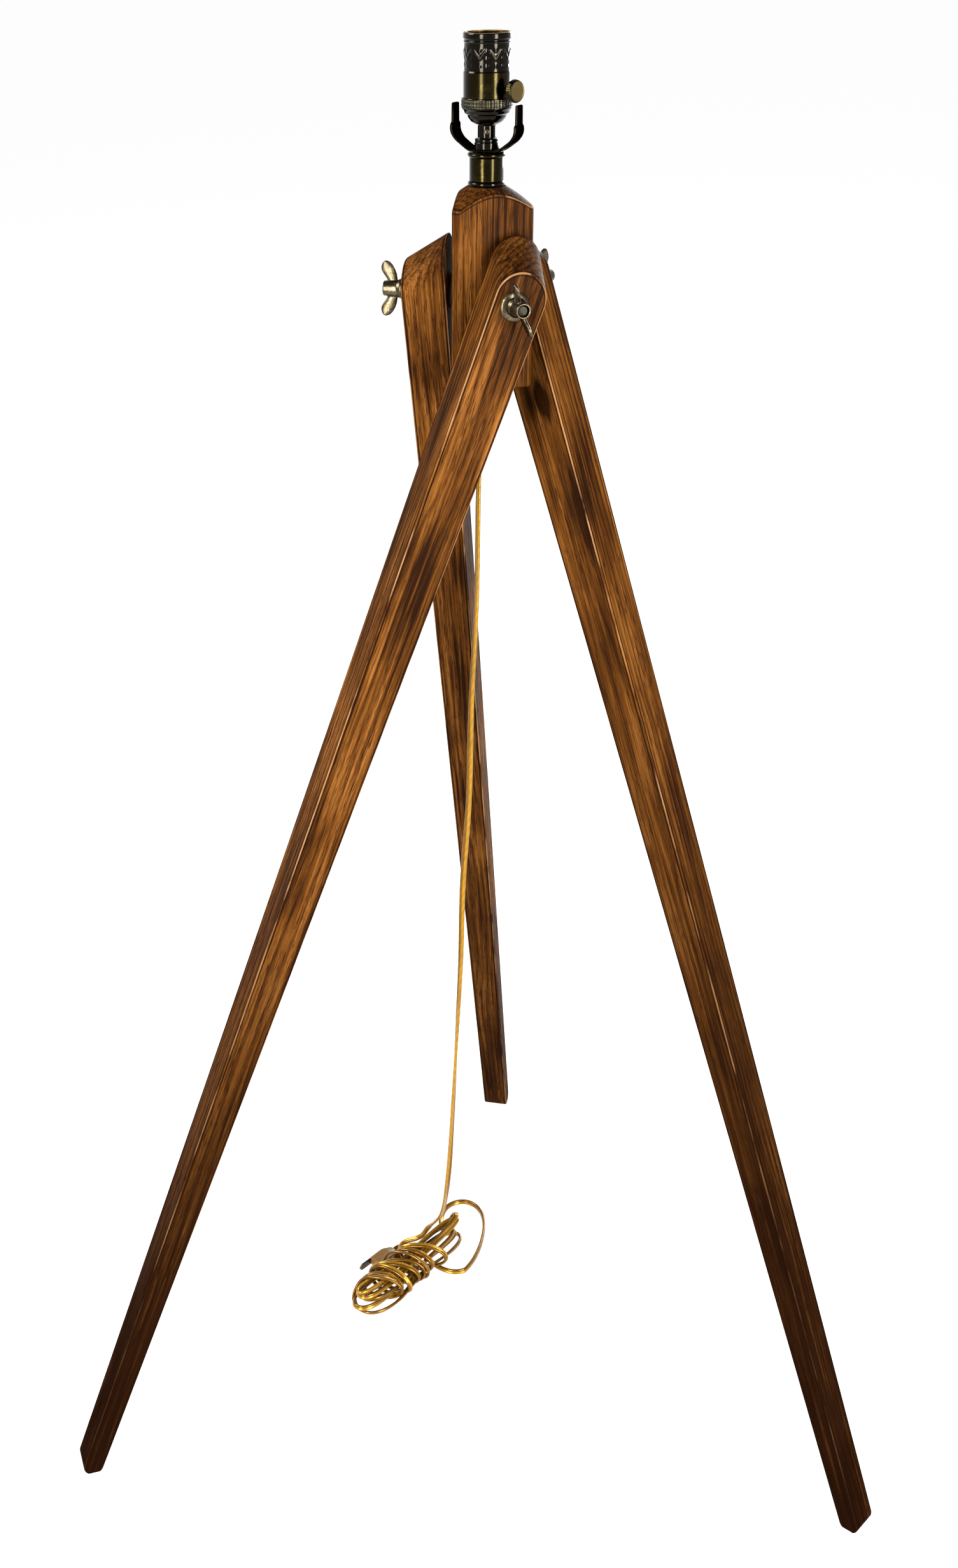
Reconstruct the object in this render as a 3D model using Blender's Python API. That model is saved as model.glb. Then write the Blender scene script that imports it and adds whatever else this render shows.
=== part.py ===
"""Wooden tripod floor-lamp base.

Three tapered oak legs hang side by side with the faces of a three-sided oak hub.  Each leg turns on
a horizontal stud with a spacer washer inside and a domed washer and wing nut outside, so the legs
spread like a pinwheel.  A threaded pipe through the hub carries the brass neck, the harp saddle and
a turn-knob lamp socket, and the flat lamp cord drops from its lower end to a hank on the floor.

The hub's axis is the local Z axis and the floor is Z = 0.  The last step moves everything so that the
origin is the middle of the stand's footprint.
"""

import bpy
import bmesh
from math import acos, cos, hypot, pi, radians, sin, sqrt
from mathutils import Matrix, Vector

MM = 0.001
GAP = 0.3 * MM              # between pieces that touch
ROUND_STEPS = 32            # facets round a turned piece

# Tripod
BOLT_HEIGHT = 985 * MM      # leg pivots above the floor
LEG_SPREAD = radians(21)    # each leg's swing from hanging straight down
LEG_AZIMUTHS = {"front": radians(-60), "right": radians(60), "left": radians(180)}

# Hub
HUB_APOTHEM = 20.5 * MM     # axis to each of the three wide faces
HUB_FACE_WIDTH = 56 * MM    # width of a wide face
HUB_BOTTOM = 915 * MM
HUB_SEAT = 1061.5 * MM      # flat on top that carries the neck
HUB_SEAT_RADIUS = 14.2 * MM
HUB_EDGE_ROUND = 1.2 * MM
DOME_SLOPE = 0.62           # fall of the turned shoulder per unit of radius
DOME_CURVE = 4.5            # extra fall per metre of radius squared

# Legs
LEG_THICK_TOP = 34 * MM
LEG_THICK_FOOT = 24.5 * MM
LEG_WIDTH_TOP = 39.8 * MM
LEG_WIDTH_FOOT = 17.2 * MM
LEG_LENGTH = 1055 * MM      # pivot to the tip of the foot
LEG_LINE_OFFSET = 3.2 * MM  # pivot hole off the leg's centre line
LEG_TOP_INNER = 28 * MM     # centre of the round top above the pivot, on the hub side
LEG_TOP_OUTER = 5 * MM      # the same on the outer face, so the rounding slopes outward
LEG_EDGE_ROUND = 1.6 * MM

# Pivot hardware
STUD_RADIUS = 4 * MM
HOLE_RADIUS = 4.3 * MM
STUD_ROOT = 8.6 * MM        # inner end of a stud, from the hub's axis
SPACER_THICK = 4.1 * MM
SPACER_RADIUS = 13 * MM
WASHER_THICK = 2.4 * MM
WASHER_RADIUS = 11 * MM
WING_NUT_LENGTH = 15 * MM
WING_NUT_RADIUS = 6.1 * MM
WING_THICK = 3.4 * MM
WING_NUT_TURNS = {"front": radians(18), "right": radians(-12), "left": radians(4)}
LEG_INNER = HUB_APOTHEM + SPACER_THICK + 2 * GAP
LEG_OUTER = LEG_INNER + LEG_THICK_TOP
WASHER_SEAT = LEG_OUTER + GAP
NUT_SEAT = WASHER_SEAT + WASHER_THICK + GAP
STUD_TIP = NUT_SEAT + WING_NUT_LENGTH - 1.5 * MM

# Lamp pipe and neck
PIPE_RADIUS = 4.95 * MM
PIPE_BORE = 3.4 * MM
PIPE_HOLE = 5.25 * MM
PIPE_BOTTOM = 904 * MM
PIPE_TOP = 1103 * MM
LOCK_WASHER_THICK = 1.8 * MM
LOCK_WASHER_RADIUS = 11 * MM
LOCK_NUT_THICK = 5 * MM
LOCK_NUT_RADIUS = 8.2 * MM  # across the corners
BUSHING_RADIUS = 7.6 * MM
BUSHING_FLOOR = 2.2 * MM
CORD_EXIT = PIPE_BOTTOM - GAP - BUSHING_FLOOR
NECK_RING = (HUB_SEAT + GAP, 3.4 * MM, 13.45 * MM)
NECK_TUBE = (NECK_RING[0] + NECK_RING[1] + GAP, 16.3 * MM, 12.35 * MM)
NECK_FLANGE = (NECK_TUBE[0] + NECK_TUBE[1] + GAP, 3.4 * MM, 13.8 * MM)
SADDLE_BASE = NECK_FLANGE[0] + NECK_FLANGE[1] + GAP
SADDLE_SHEET = 1.6 * MM
COLLAR_BASE = SADDLE_BASE + SADDLE_SHEET + GAP
COLLAR_HEIGHT = 7.6 * MM
COLLAR_RADIUS = 8.8 * MM

# Harp saddle
SADDLE_AZIMUTH = radians(-18)
SADDLE_REACH = 26.4 * MM    # axis to the outer face of an arm
SADDLE_ARM_TOP = 1119 * MM
SADDLE_WIDTH = 14 * MM
SADDLE_TIP_WIDTH = 9.5 * MM

# Lamp socket
STEM_BASE = COLLAR_BASE + COLLAR_HEIGHT + GAP
STEM_RADIUS = 6.6 * MM
CAP_SHOULDER = 1104.8 * MM
CAP_RIM = 1123.6 * MM
CAP_RADIUS = 18.2 * MM
SHELL_RADIUS = 17 * MM
SHELL_BASE = 1117.5 * MM
SHELL_TOP = 1168 * MM
SOCKET_WALL = 0.7 * MM
BODY_BASE = 1111.5 * MM
BODY_TOP = 1138.5 * MM
BODY_RADIUS = 14.8 * MM
SCREW_SHELL_BORE = 13.1 * MM
SCREW_SHELL_TOP = 1165 * MM
THREAD_PITCH = 3.6 * MM
THREAD_DEPTH = 0.7 * MM
KNOB_AZIMUTH = radians(-33)
KNOB_HEIGHT = 1129 * MM
KNOB_RADIUS = 8 * MM
KNOB_INNER = 23.5 * MM
KNOB_OUTER = 29 * MM
SPINDLE_RADIUS = 2 * MM
SET_SCREW_AZIMUTH = radians(-80)
SET_SCREW_HEIGHT = 1100.3 * MM

# Cord, a flat twin lead 5 mm wide
CORD_RADIUS = 2.5 * MM
CORD_REST = 2.8 * MM        # height of the cord's centre where it lies on the floor
HANK_CENTRE = (-80 * MM, 64 * MM)
HANK_ANGLE = radians(60)
HANK_HALF_LENGTH = 80 * MM
HANK_HALF_WIDTH = 26 * MM
HANK_HEIGHT = 34 * MM
PLUG_LENGTH = 26 * MM
PLUG_WIDTH = 17 * MM
PLUG_THICK = 9.5 * MM
PLUG_ALONG_HANK = 4 * MM  # plug's middle, measured along the hank from its centre
PRONG_LENGTH = 15 * MM
PRONG_WIDTH = 6.4 * MM
PRONG_THICK = 1.6 * MM
PRONG_SPACING = 12.7 * MM

# Route of the hanging cord from the bushing to the top of the hank, in millimetres
HANGING_ROUTE = [
    (0.0, 0.0, 900.9), (0.0, 0.0, 885.0), (-3.9, -0.9, 840.0), (-5.3, 0.8, 740.0),
    (-9.4, 2.9, 650.0), (-11.6, 5.4, 560.0), (-16.7, 7.3, 480.0), (-18.8, 9.8, 400.0),
    (-22.7, 13.0, 320.0), (-27.0, 18.2, 240.0), (-33.2, 31.0, 160.0), (-42.8, 53.4, 98.0),
    (-55.0, 73.0, 66.0), (-64.0, 83.8, 50.0), (-67.4, 87.6, 42.0), (-68.0, 88.2, 35.2),
]
# Route of the loose loop that lies on the floor beside the hank, in millimetres
LOOP_ROUTE = [
    (-39.3, 79.7), (-34.6, 78.0), (-28.2, 83.0), (-23.0, 95.5), (-19.6, 112.0), (-18.2, 130.0),
    (-19.4, 152.0), (-24.4, 171.0), (-33.0, 183.0), (-43.5, 187.6), (-54.0, 184.5),
    (-61.8, 175.0), (-64.4, 160.0), (-62.4, 147.5), (-59.9, 137.6),
]

CORD_NODES = ("cord", "cord_loop", "cord_hank", "plug_body", "plug_prong_near", "plug_prong_far")


# ---------------------------------------------------------------- materials

def material(name, colour, roughness, metallic=0.0):
    made = bpy.data.materials.new(name)
    made.use_nodes = True
    shader = made.node_tree.nodes["Principled BSDF"]
    shader.inputs["Base Color"].default_value = (*colour, 1.0)
    shader.inputs["Roughness"].default_value = roughness
    shader.inputs["Metallic"].default_value = metallic
    made.diffuse_color = (*colour, 1.0)
    return made


def make_materials():
    return {
        "oak": material("oak", (0.33, 0.15, 0.05), 0.45),
        "dark_brass": material("dark_brass", (0.10, 0.07, 0.03), 0.28, 1.0),
        "wing_brass": material("wing_brass", (0.42, 0.34, 0.20), 0.35, 1.0),
        "steel": material("steel", (0.45, 0.43, 0.40), 0.4, 1.0),
        "fibre": material("fibre", (0.05, 0.04, 0.03), 0.8),
        "phenolic": material("phenolic", (0.03, 0.02, 0.02), 0.4),
        "screw_shell": material("screw_shell", (0.70, 0.62, 0.42), 0.3, 1.0),
        "gold_cord": material("gold_cord", (0.60, 0.38, 0.05), 0.4),
        "plug": material("plug", (0.30, 0.18, 0.04), 0.45),
    }


# ---------------------------------------------------------------- mesh makers

def tidy(shape):
    bmesh.ops.remove_doubles(shape, verts=shape.verts, dist=0.001 * MM)
    bmesh.ops.recalc_face_normals(shape, faces=shape.faces)
    return shape


def turned(outline, steps=ROUND_STEPS):
    """Revolve a closed (radius, height) outline about Z."""
    shape = bmesh.new()
    points = [shape.verts.new((radius, 0, height)) for radius, height in outline]
    edges = [shape.edges.new((a, b)) for a, b in zip(points, points[1:] + points[:1])
             if a.co.x > 0 or b.co.x > 0]
    bmesh.ops.spin(shape, geom=points + edges, cent=(0, 0, 0), axis=(0, 0, 1), angle=2 * pi,
                   steps=steps, use_merge=True)
    return tidy(shape)


def tube(outer, bore, low, high, steps=ROUND_STEPS):
    return turned([(bore, low), (outer, low), (outer, high), (bore, high)], steps)


def rod(radius, low, high, steps=ROUND_STEPS):
    return turned([(0, low), (radius, low), (radius, high), (0, high)], steps)


def loft(low_loop, high_loop):
    """Close the space between two loops that have the same number of points."""
    shape = bmesh.new()
    low = [shape.verts.new(point) for point in low_loop]
    high = [shape.verts.new(point) for point in high_loop]
    shape.faces.new(low[::-1])
    shape.faces.new(high)
    count = len(low)
    for index in range(count):
        after = (index + 1) % count
        shape.faces.new((low[index], low[after], high[after], high[index]))
    return tidy(shape)


def prism(outline, low, high):
    return loft([(x, y, low) for x, y in outline], [(x, y, high) for x, y in outline])


def arc(centre, radius, start, end, segments):
    """Points on an arc in a plane, both ends included."""
    angles = [start + (end - start) * step / segments for step in range(segments + 1)]
    return [(centre[0] + radius * cos(a), centre[1] + radius * sin(a)) for a in angles]


# ---------------------------------------------------------------- objects

def place(name, shape, finish, root, matrix=None):
    """Turn a bmesh into a smooth-shaded object under the root empty."""
    mesh = bpy.data.meshes.new(name)
    shape.to_mesh(mesh)
    shape.free()
    mesh.materials.append(finish)
    mesh.shade_smooth()
    mesh.set_sharp_from_angle(angle=radians(35))
    made = bpy.data.objects.new(name, mesh)
    bpy.context.scene.collection.objects.link(made)
    made.parent = root
    made.matrix_basis = matrix or Matrix.Identity(4)
    return made


def radial(azimuth, height=0.0, spin=0.0):
    """Frame whose Z points outward from the hub's axis at a height."""
    return (Matrix.Translation((0, 0, height)) @ Matrix.Rotation(azimuth, 4, "Z")
            @ Matrix.Rotation(pi / 2, 4, "Y") @ Matrix.Rotation(spin, 4, "Z"))


def cut(target, shape, matrix=None, operation="DIFFERENCE"):
    """Apply a Boolean of the target with another shape, both in the root's frame."""
    tool = place(target.name + "_cutter", shape, target.data.materials[0], target.parent, matrix)
    tool.hide_render = True
    tool.display_type = "WIRE"
    step = target.modifiers.new("cut", "BOOLEAN")
    step.operation = operation
    step.solver = "EXACT"
    step.object = tool
    bake(target)
    bpy.data.objects.remove(tool)


def bevel(target, width, segments=2, angle=radians(50)):
    step = target.modifiers.new("rounded edges", "BEVEL")
    step.width = width
    step.segments = segments
    step.limit_method = "ANGLE"
    step.angle_limit = angle
    bake(target)


def bake(target):
    """Replace the target's mesh with its evaluated one."""
    bpy.context.view_layer.update()
    evaluated = target.evaluated_get(bpy.context.evaluated_depsgraph_get())
    mesh = bpy.data.meshes.new_from_object(evaluated)
    mesh.name = target.name
    target.modifiers.clear()
    target.data = mesh
    mesh.shade_smooth()
    mesh.set_sharp_from_angle(angle=radians(35))


# ---------------------------------------------------------------- hub

def hub_outline():
    """Triangle with its corners cut off, as a six-sided outline."""
    radius = hypot(HUB_APOTHEM, HUB_FACE_WIDTH / 2)
    half_angle = acos(HUB_APOTHEM / radius)
    points = []
    for azimuth in sorted(LEG_AZIMUTHS.values()):
        points.append((radius * cos(azimuth - half_angle), radius * sin(azimuth - half_angle)))
        points.append((radius * cos(azimuth + half_angle), radius * sin(azimuth + half_angle)))
    return points


def dome_outline():
    """Turned body whose sloping shoulder gives each wide face its arched top."""
    outer = HUB_SEAT_RADIUS + 24 * MM       # past the hub's corners
    shoulder = []
    for step in range(9):
        out = (outer - HUB_SEAT_RADIUS) * step / 8
        fall = DOME_SLOPE * out + DOME_CURVE * out * out
        shoulder.append((HUB_SEAT_RADIUS + out, HUB_SEAT - fall))
    below = HUB_BOTTOM - 10 * MM
    return [(0, HUB_SEAT)] + shoulder + [(outer, below), (0, below)]


def make_hub(finish, root):
    hub = place("hub_block", prism(hub_outline(), HUB_BOTTOM, HUB_SEAT + 20 * MM), finish, root)
    bevel(hub, HUB_EDGE_ROUND, segments=2, angle=radians(40))
    cut(hub, turned(dome_outline(), 48), operation="INTERSECT")
    cut(hub, rod(PIPE_HOLE, HUB_BOTTOM - 5 * MM, HUB_SEAT + 5 * MM, 24))
    for azimuth in LEG_AZIMUTHS.values():
        hole = rod(HOLE_RADIUS, STUD_ROOT - GAP, HUB_APOTHEM + 5 * MM, 16)
        cut(hub, hole, radial(azimuth, BOLT_HEIGHT))


# ---------------------------------------------------------------- legs

def leg_half_width(along):
    share = max(0.0, along) / LEG_LENGTH
    return (LEG_WIDTH_TOP + (LEG_WIDTH_FOOT - LEG_WIDTH_TOP) * share) / 2


def leg_half_thickness(along):
    share = max(0.0, along) / LEG_LENGTH
    return (LEG_THICK_TOP + (LEG_THICK_FOOT - LEG_THICK_TOP) * share) / 2


def leg_loop(top_centre, side):
    """Outline of one face of a leg in the leg's own frame: X outward, Z up the leg.

    side is -1 for the face against the hub and +1 for the outer face.
    """
    foot_radius = LEG_WIDTH_FOOT / 2
    foot_centre = LEG_LENGTH - foot_radius
    outline = arc((0, top_centre), LEG_WIDTH_TOP / 2, 0, pi, 14)
    outline.append((-LEG_WIDTH_TOP / 2, 0))
    outline += arc((0, -foot_centre), foot_radius, pi, 2 * pi, 12)
    outline.append((LEG_WIDTH_TOP / 2, 0))
    middle = (LEG_INNER + LEG_OUTER) / 2
    return [(middle + side * leg_half_thickness(-z), y + LEG_LINE_OFFSET, z) for y, z in outline]


def make_leg(side, finish, root):
    shape = loft(leg_loop(LEG_TOP_INNER, -1), leg_loop(LEG_TOP_OUTER, 1))
    floor_normal = Vector((0, -sin(LEG_SPREAD), cos(LEG_SPREAD)))
    floor_cut = bmesh.ops.bisect_plane(
        shape, geom=shape.verts[:] + shape.edges[:] + shape.faces[:],
        plane_co=-BOLT_HEIGHT * floor_normal, plane_no=floor_normal, clear_inner=True)
    rim = [item for item in floor_cut["geom_cut"] if isinstance(item, bmesh.types.BMEdge)]
    bmesh.ops.contextual_create(shape, geom=rim)
    swing = (Matrix.Translation((0, 0, BOLT_HEIGHT)) @ Matrix.Rotation(LEG_AZIMUTHS[side], 4, "Z")
             @ Matrix.Rotation(-LEG_SPREAD, 4, "X"))
    leg = place("leg_" + side, tidy(shape), finish, root, swing)
    bevel(leg, LEG_EDGE_ROUND)
    hole = rod(HOLE_RADIUS, LEG_INNER - 5 * MM, LEG_OUTER + 5 * MM, 24)
    cut(leg, hole, radial(LEG_AZIMUTHS[side], BOLT_HEIGHT))


# ---------------------------------------------------------------- pivot hardware

def washer_outline():
    """Domed washer, flat underneath."""
    crown = [(WASHER_RADIUS * (1 - step / 10), WASHER_THICK * sqrt(1 - (1 - step / 5) ** 2))
             for step in (0.3, 1, 2, 3, 4.2)]
    return [(HOLE_RADIUS, 0), (WASHER_RADIUS, 0)] + crown + [(HOLE_RADIUS, WASHER_THICK)]


def wing_outline():
    """One ear of a wing nut, as (distance from the axis, height above the seat)."""
    tip = arc((15.6 * MM, 12.4 * MM), 4.4 * MM, radians(-50), radians(120), 8)
    return ([(3 * MM, 4.2 * MM), (7 * MM, 4.4 * MM), (12 * MM, 5.8 * MM)] + tip
            + [(9.5 * MM, 14 * MM), (6.5 * MM, 12.2 * MM), (3 * MM, 12 * MM)])


def wing(direction):
    half = WING_THICK / 2
    outline = wing_outline()
    return loft([(direction * out, -half, up) for out, up in outline],
                [(direction * out, half, up) for out, up in outline])


def make_wing_nut_mesh(finish, root):
    """Barrel, two ears and the bore, joined into one body."""
    barrel = turned([(0, 0), (WING_NUT_RADIUS + 1.2 * MM, 0), (WING_NUT_RADIUS, 3 * MM),
                     (WING_NUT_RADIUS, WING_NUT_LENGTH - MM),
                     (WING_NUT_RADIUS - MM, WING_NUT_LENGTH), (0, WING_NUT_LENGTH)], 24)
    nut = place("wing_nut", barrel, finish, root)
    for direction in (-1, 1):
        cut(nut, wing(direction), operation="UNION")
    cut(nut, rod(HOLE_RADIUS, -5 * MM, WING_NUT_LENGTH + 5 * MM, 16))
    mesh = nut.data
    bpy.data.objects.remove(nut)
    return mesh


def make_pivots(finishes, root):
    nut_mesh = make_wing_nut_mesh(finishes["wing_brass"], root)
    for side, azimuth in LEG_AZIMUTHS.items():
        axis = radial(azimuth, BOLT_HEIGHT)
        stud = turned([(0, STUD_ROOT), (STUD_RADIUS - MM, STUD_ROOT),
                       (STUD_RADIUS, STUD_ROOT + 1.5 * MM), (STUD_RADIUS, STUD_TIP - MM),
                       (STUD_RADIUS - MM, STUD_TIP), (0, STUD_TIP)], 16)
        place("stud_" + side, stud, finishes["steel"], root, axis)
        spacer_low = HUB_APOTHEM + GAP
        spacer = tube(SPACER_RADIUS, HOLE_RADIUS, spacer_low, spacer_low + SPACER_THICK, 24)
        place("spacer_" + side, spacer, finishes["fibre"], root, axis)
        seat = axis @ Matrix.Translation((0, 0, WASHER_SEAT))
        place("washer_" + side, turned(washer_outline(), 24), finishes["wing_brass"], root, seat)
        nut = bpy.data.objects.new("wing_nut_" + side, nut_mesh.copy())
        bpy.context.scene.collection.objects.link(nut)
        nut.parent = root
        nut.matrix_basis = (radial(azimuth, BOLT_HEIGHT, WING_NUT_TURNS[side])
                            @ Matrix.Translation((0, 0, NUT_SEAT)))


# ---------------------------------------------------------------- pipe and neck

def make_pipe(finishes, root):
    place("lamp_pipe", tube(PIPE_RADIUS, PIPE_BORE, PIPE_BOTTOM, PIPE_TOP, 24),
          finishes["steel"], root)
    washer_top = HUB_BOTTOM - GAP
    washer_low = washer_top - LOCK_WASHER_THICK
    place("lock_washer", tube(LOCK_WASHER_RADIUS, PIPE_HOLE, washer_low, washer_top, 24),
          finishes["steel"], root)
    nut_top = washer_low - GAP
    hexagon = arc((0, 0), LOCK_NUT_RADIUS, 0, 2 * pi, 6)[:-1]
    lock_nut = place("lock_nut", prism(hexagon, nut_top - LOCK_NUT_THICK, nut_top),
                     finishes["steel"], root)
    cut(lock_nut, rod(PIPE_HOLE, nut_top - 10 * MM, nut_top + 10 * MM, 24))
    wall_top = nut_top - LOCK_NUT_THICK - GAP
    bushing = [(CORD_RADIUS + GAP, CORD_EXIT), (BUSHING_RADIUS - 0.6 * MM, CORD_EXIT),
               (BUSHING_RADIUS, CORD_EXIT + 0.8 * MM), (BUSHING_RADIUS, wall_top),
               (PIPE_HOLE, wall_top), (PIPE_HOLE, PIPE_BOTTOM - GAP),
               (CORD_RADIUS + GAP, PIPE_BOTTOM - GAP)]
    place("cord_bushing", turned(bushing, 24), finishes["phenolic"], root)
    place("inner_wire", rod(CORD_RADIUS, PIPE_BOTTOM, BODY_BASE - GAP, 10),
          finishes["gold_cord"], root)


def rounded_ring(low, height, outer, bore, crown):
    """Ring whose outer edge bulges by crown, like a rolled bead."""
    bulge = [(outer - crown + crown * cos(a), low + height / 2 + height / 2 * sin(a))
             for a in [radians(t) for t in range(-75, 76, 25)]]
    return turned([(bore, low)] + bulge + [(bore, low + height)], ROUND_STEPS)


def make_neck(finishes, root):
    brass = finishes["dark_brass"]
    low, height, radius = NECK_RING
    place("neck_ring", rounded_ring(low, height, radius, PIPE_HOLE, 1.2 * MM), brass, root)
    low, height, radius = NECK_TUBE
    place("neck_tube", tube(radius, radius - 1.4 * MM, low, low + height), brass, root)
    low, height, radius = NECK_FLANGE
    place("neck_flange", rounded_ring(low, height, radius, PIPE_HOLE, 1.5 * MM), brass, root)
    collar = [(PIPE_HOLE, COLLAR_BASE), (COLLAR_RADIUS, COLLAR_BASE),
              (COLLAR_RADIUS, COLLAR_BASE + COLLAR_HEIGHT - MM),
              (COLLAR_RADIUS - MM, COLLAR_BASE + COLLAR_HEIGHT),
              (PIPE_HOLE, COLLAR_BASE + COLLAR_HEIGHT)]
    place("saddle_collar", turned(collar), brass, root)


def saddle_line(offset):
    """Half of the saddle's bent strip, as (distance from the axis, height), from centre to tip."""
    reach = SADDLE_REACH - offset
    base = SADDLE_BASE + offset
    return [(0, base), (10.5 * MM, base), (19 * MM, base + 5.2 * MM),
            (reach - 2.2 * MM, base + 11 * MM), (reach, base + 15 * MM),
            (reach, SADDLE_ARM_TOP)]


def saddle_half_width(distance, height):
    """The strip narrows up its arms."""
    if distance < 15 * MM:
        return SADDLE_WIDTH / 2
    share = (height - SADDLE_BASE) / (SADDLE_ARM_TOP - SADDLE_BASE)
    return (SADDLE_WIDTH + (SADDLE_TIP_WIDTH - SADDLE_WIDTH) * share) / 2


def make_saddle(finishes, root):
    right = saddle_line(0)[1:] + saddle_line(SADDLE_SHEET)[1:][::-1]
    left = [(-x, z) for x, z in right[::-1]]
    loop = right + left
    front = [(x, -saddle_half_width(abs(x), z), z) for x, z in loop]
    back = [(x, saddle_half_width(abs(x), z), z) for x, z in loop]
    turn = Matrix.Rotation(SADDLE_AZIMUTH, 4, "Z")
    saddle = place("harp_saddle", loft(front, back), finishes["dark_brass"], root, turn)
    cut(saddle, rod(PIPE_HOLE, SADDLE_BASE - 5 * MM, SADDLE_BASE + 5 * MM, 24))


# ---------------------------------------------------------------- socket

def cap_outline():
    """Spun cap: stem, dome, step and the band that grips the shell, open at the top."""
    wall = SOCKET_WALL
    outside = [(STEM_RADIUS, STEM_BASE), (STEM_RADIUS, CAP_SHOULDER),
               (10.5 * MM, CAP_SHOULDER + 1.4 * MM), (13.4 * MM, CAP_SHOULDER + 4.4 * MM),
               (14.6 * MM, CAP_SHOULDER + 8 * MM), (16.8 * MM, CAP_SHOULDER + 10 * MM),
               (CAP_RADIUS, CAP_SHOULDER + 11.6 * MM), (CAP_RADIUS, CAP_RIM)]
    inside = [(radius - wall, height) for radius, height in outside[3:]]
    inside[0] = (13.4 * MM - wall, CAP_SHOULDER + 5 * MM)
    return ([(PIPE_HOLE, STEM_BASE)] + outside + inside[::-1]
            + [(10 * MM, CAP_SHOULDER + 2.4 * MM), (PIPE_HOLE, CAP_SHOULDER + 1.2 * MM)])


def shell_outline():
    """Outer shell with a bead near the top and a rolled rim."""
    wall = SOCKET_WALL
    return [(SHELL_RADIUS - wall, SHELL_BASE), (SHELL_RADIUS, SHELL_BASE),
            (SHELL_RADIUS, SHELL_TOP - 27 * MM), (SHELL_RADIUS - 0.5 * MM, SHELL_TOP - 26 * MM),
            (SHELL_RADIUS - 0.5 * MM, SHELL_TOP - 7 * MM),
            (SHELL_RADIUS + 0.2 * MM, SHELL_TOP - 6 * MM),
            (SHELL_RADIUS - 0.5 * MM, SHELL_TOP - 5 * MM),
            (SHELL_RADIUS + 0.3 * MM, SHELL_TOP - 3.6 * MM),
            (SHELL_RADIUS + 0.3 * MM, SHELL_TOP - 0.8 * MM),
            (SHELL_RADIUS - 0.6 * MM, SHELL_TOP), (SHELL_RADIUS - 2 * wall - 0.5 * MM, SHELL_TOP),
            (SHELL_RADIUS - wall - 0.5 * MM, SHELL_TOP - 3 * MM),
            (SHELL_RADIUS - wall - 0.5 * MM, SHELL_TOP - 26 * MM)]


def screw_shell_outline():
    """Cup with a rolled thread for the lamp's base, and a floor with a hole."""
    low = BODY_TOP + GAP
    steps = 14
    wave = []
    for step in range(steps + 1):
        height = low + 1.5 * MM + (SCREW_SHELL_TOP - low - 1.5 * MM) * step / steps
        wave.append((THREAD_DEPTH / 2 * cos(2 * pi * height / THREAD_PITCH), height))
    bore = [(SCREW_SHELL_BORE + out, height) for out, height in wave]
    wall = [(SCREW_SHELL_BORE + 0.6 * MM + out, height) for out, height in wave]
    return ([(6 * MM, low), (SCREW_SHELL_BORE + 0.6 * MM, low)] + wall + bore[::-1]
            + [(SCREW_SHELL_BORE, low + 0.6 * MM), (6 * MM, low + 0.6 * MM)])


def body_outline():
    return [(0, BODY_BASE), (11.4 * MM, BODY_BASE), (11.4 * MM, BODY_BASE + 8 * MM),
            (BODY_RADIUS, BODY_BASE + 9 * MM), (BODY_RADIUS, BODY_TOP), (0, BODY_TOP)]


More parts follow.
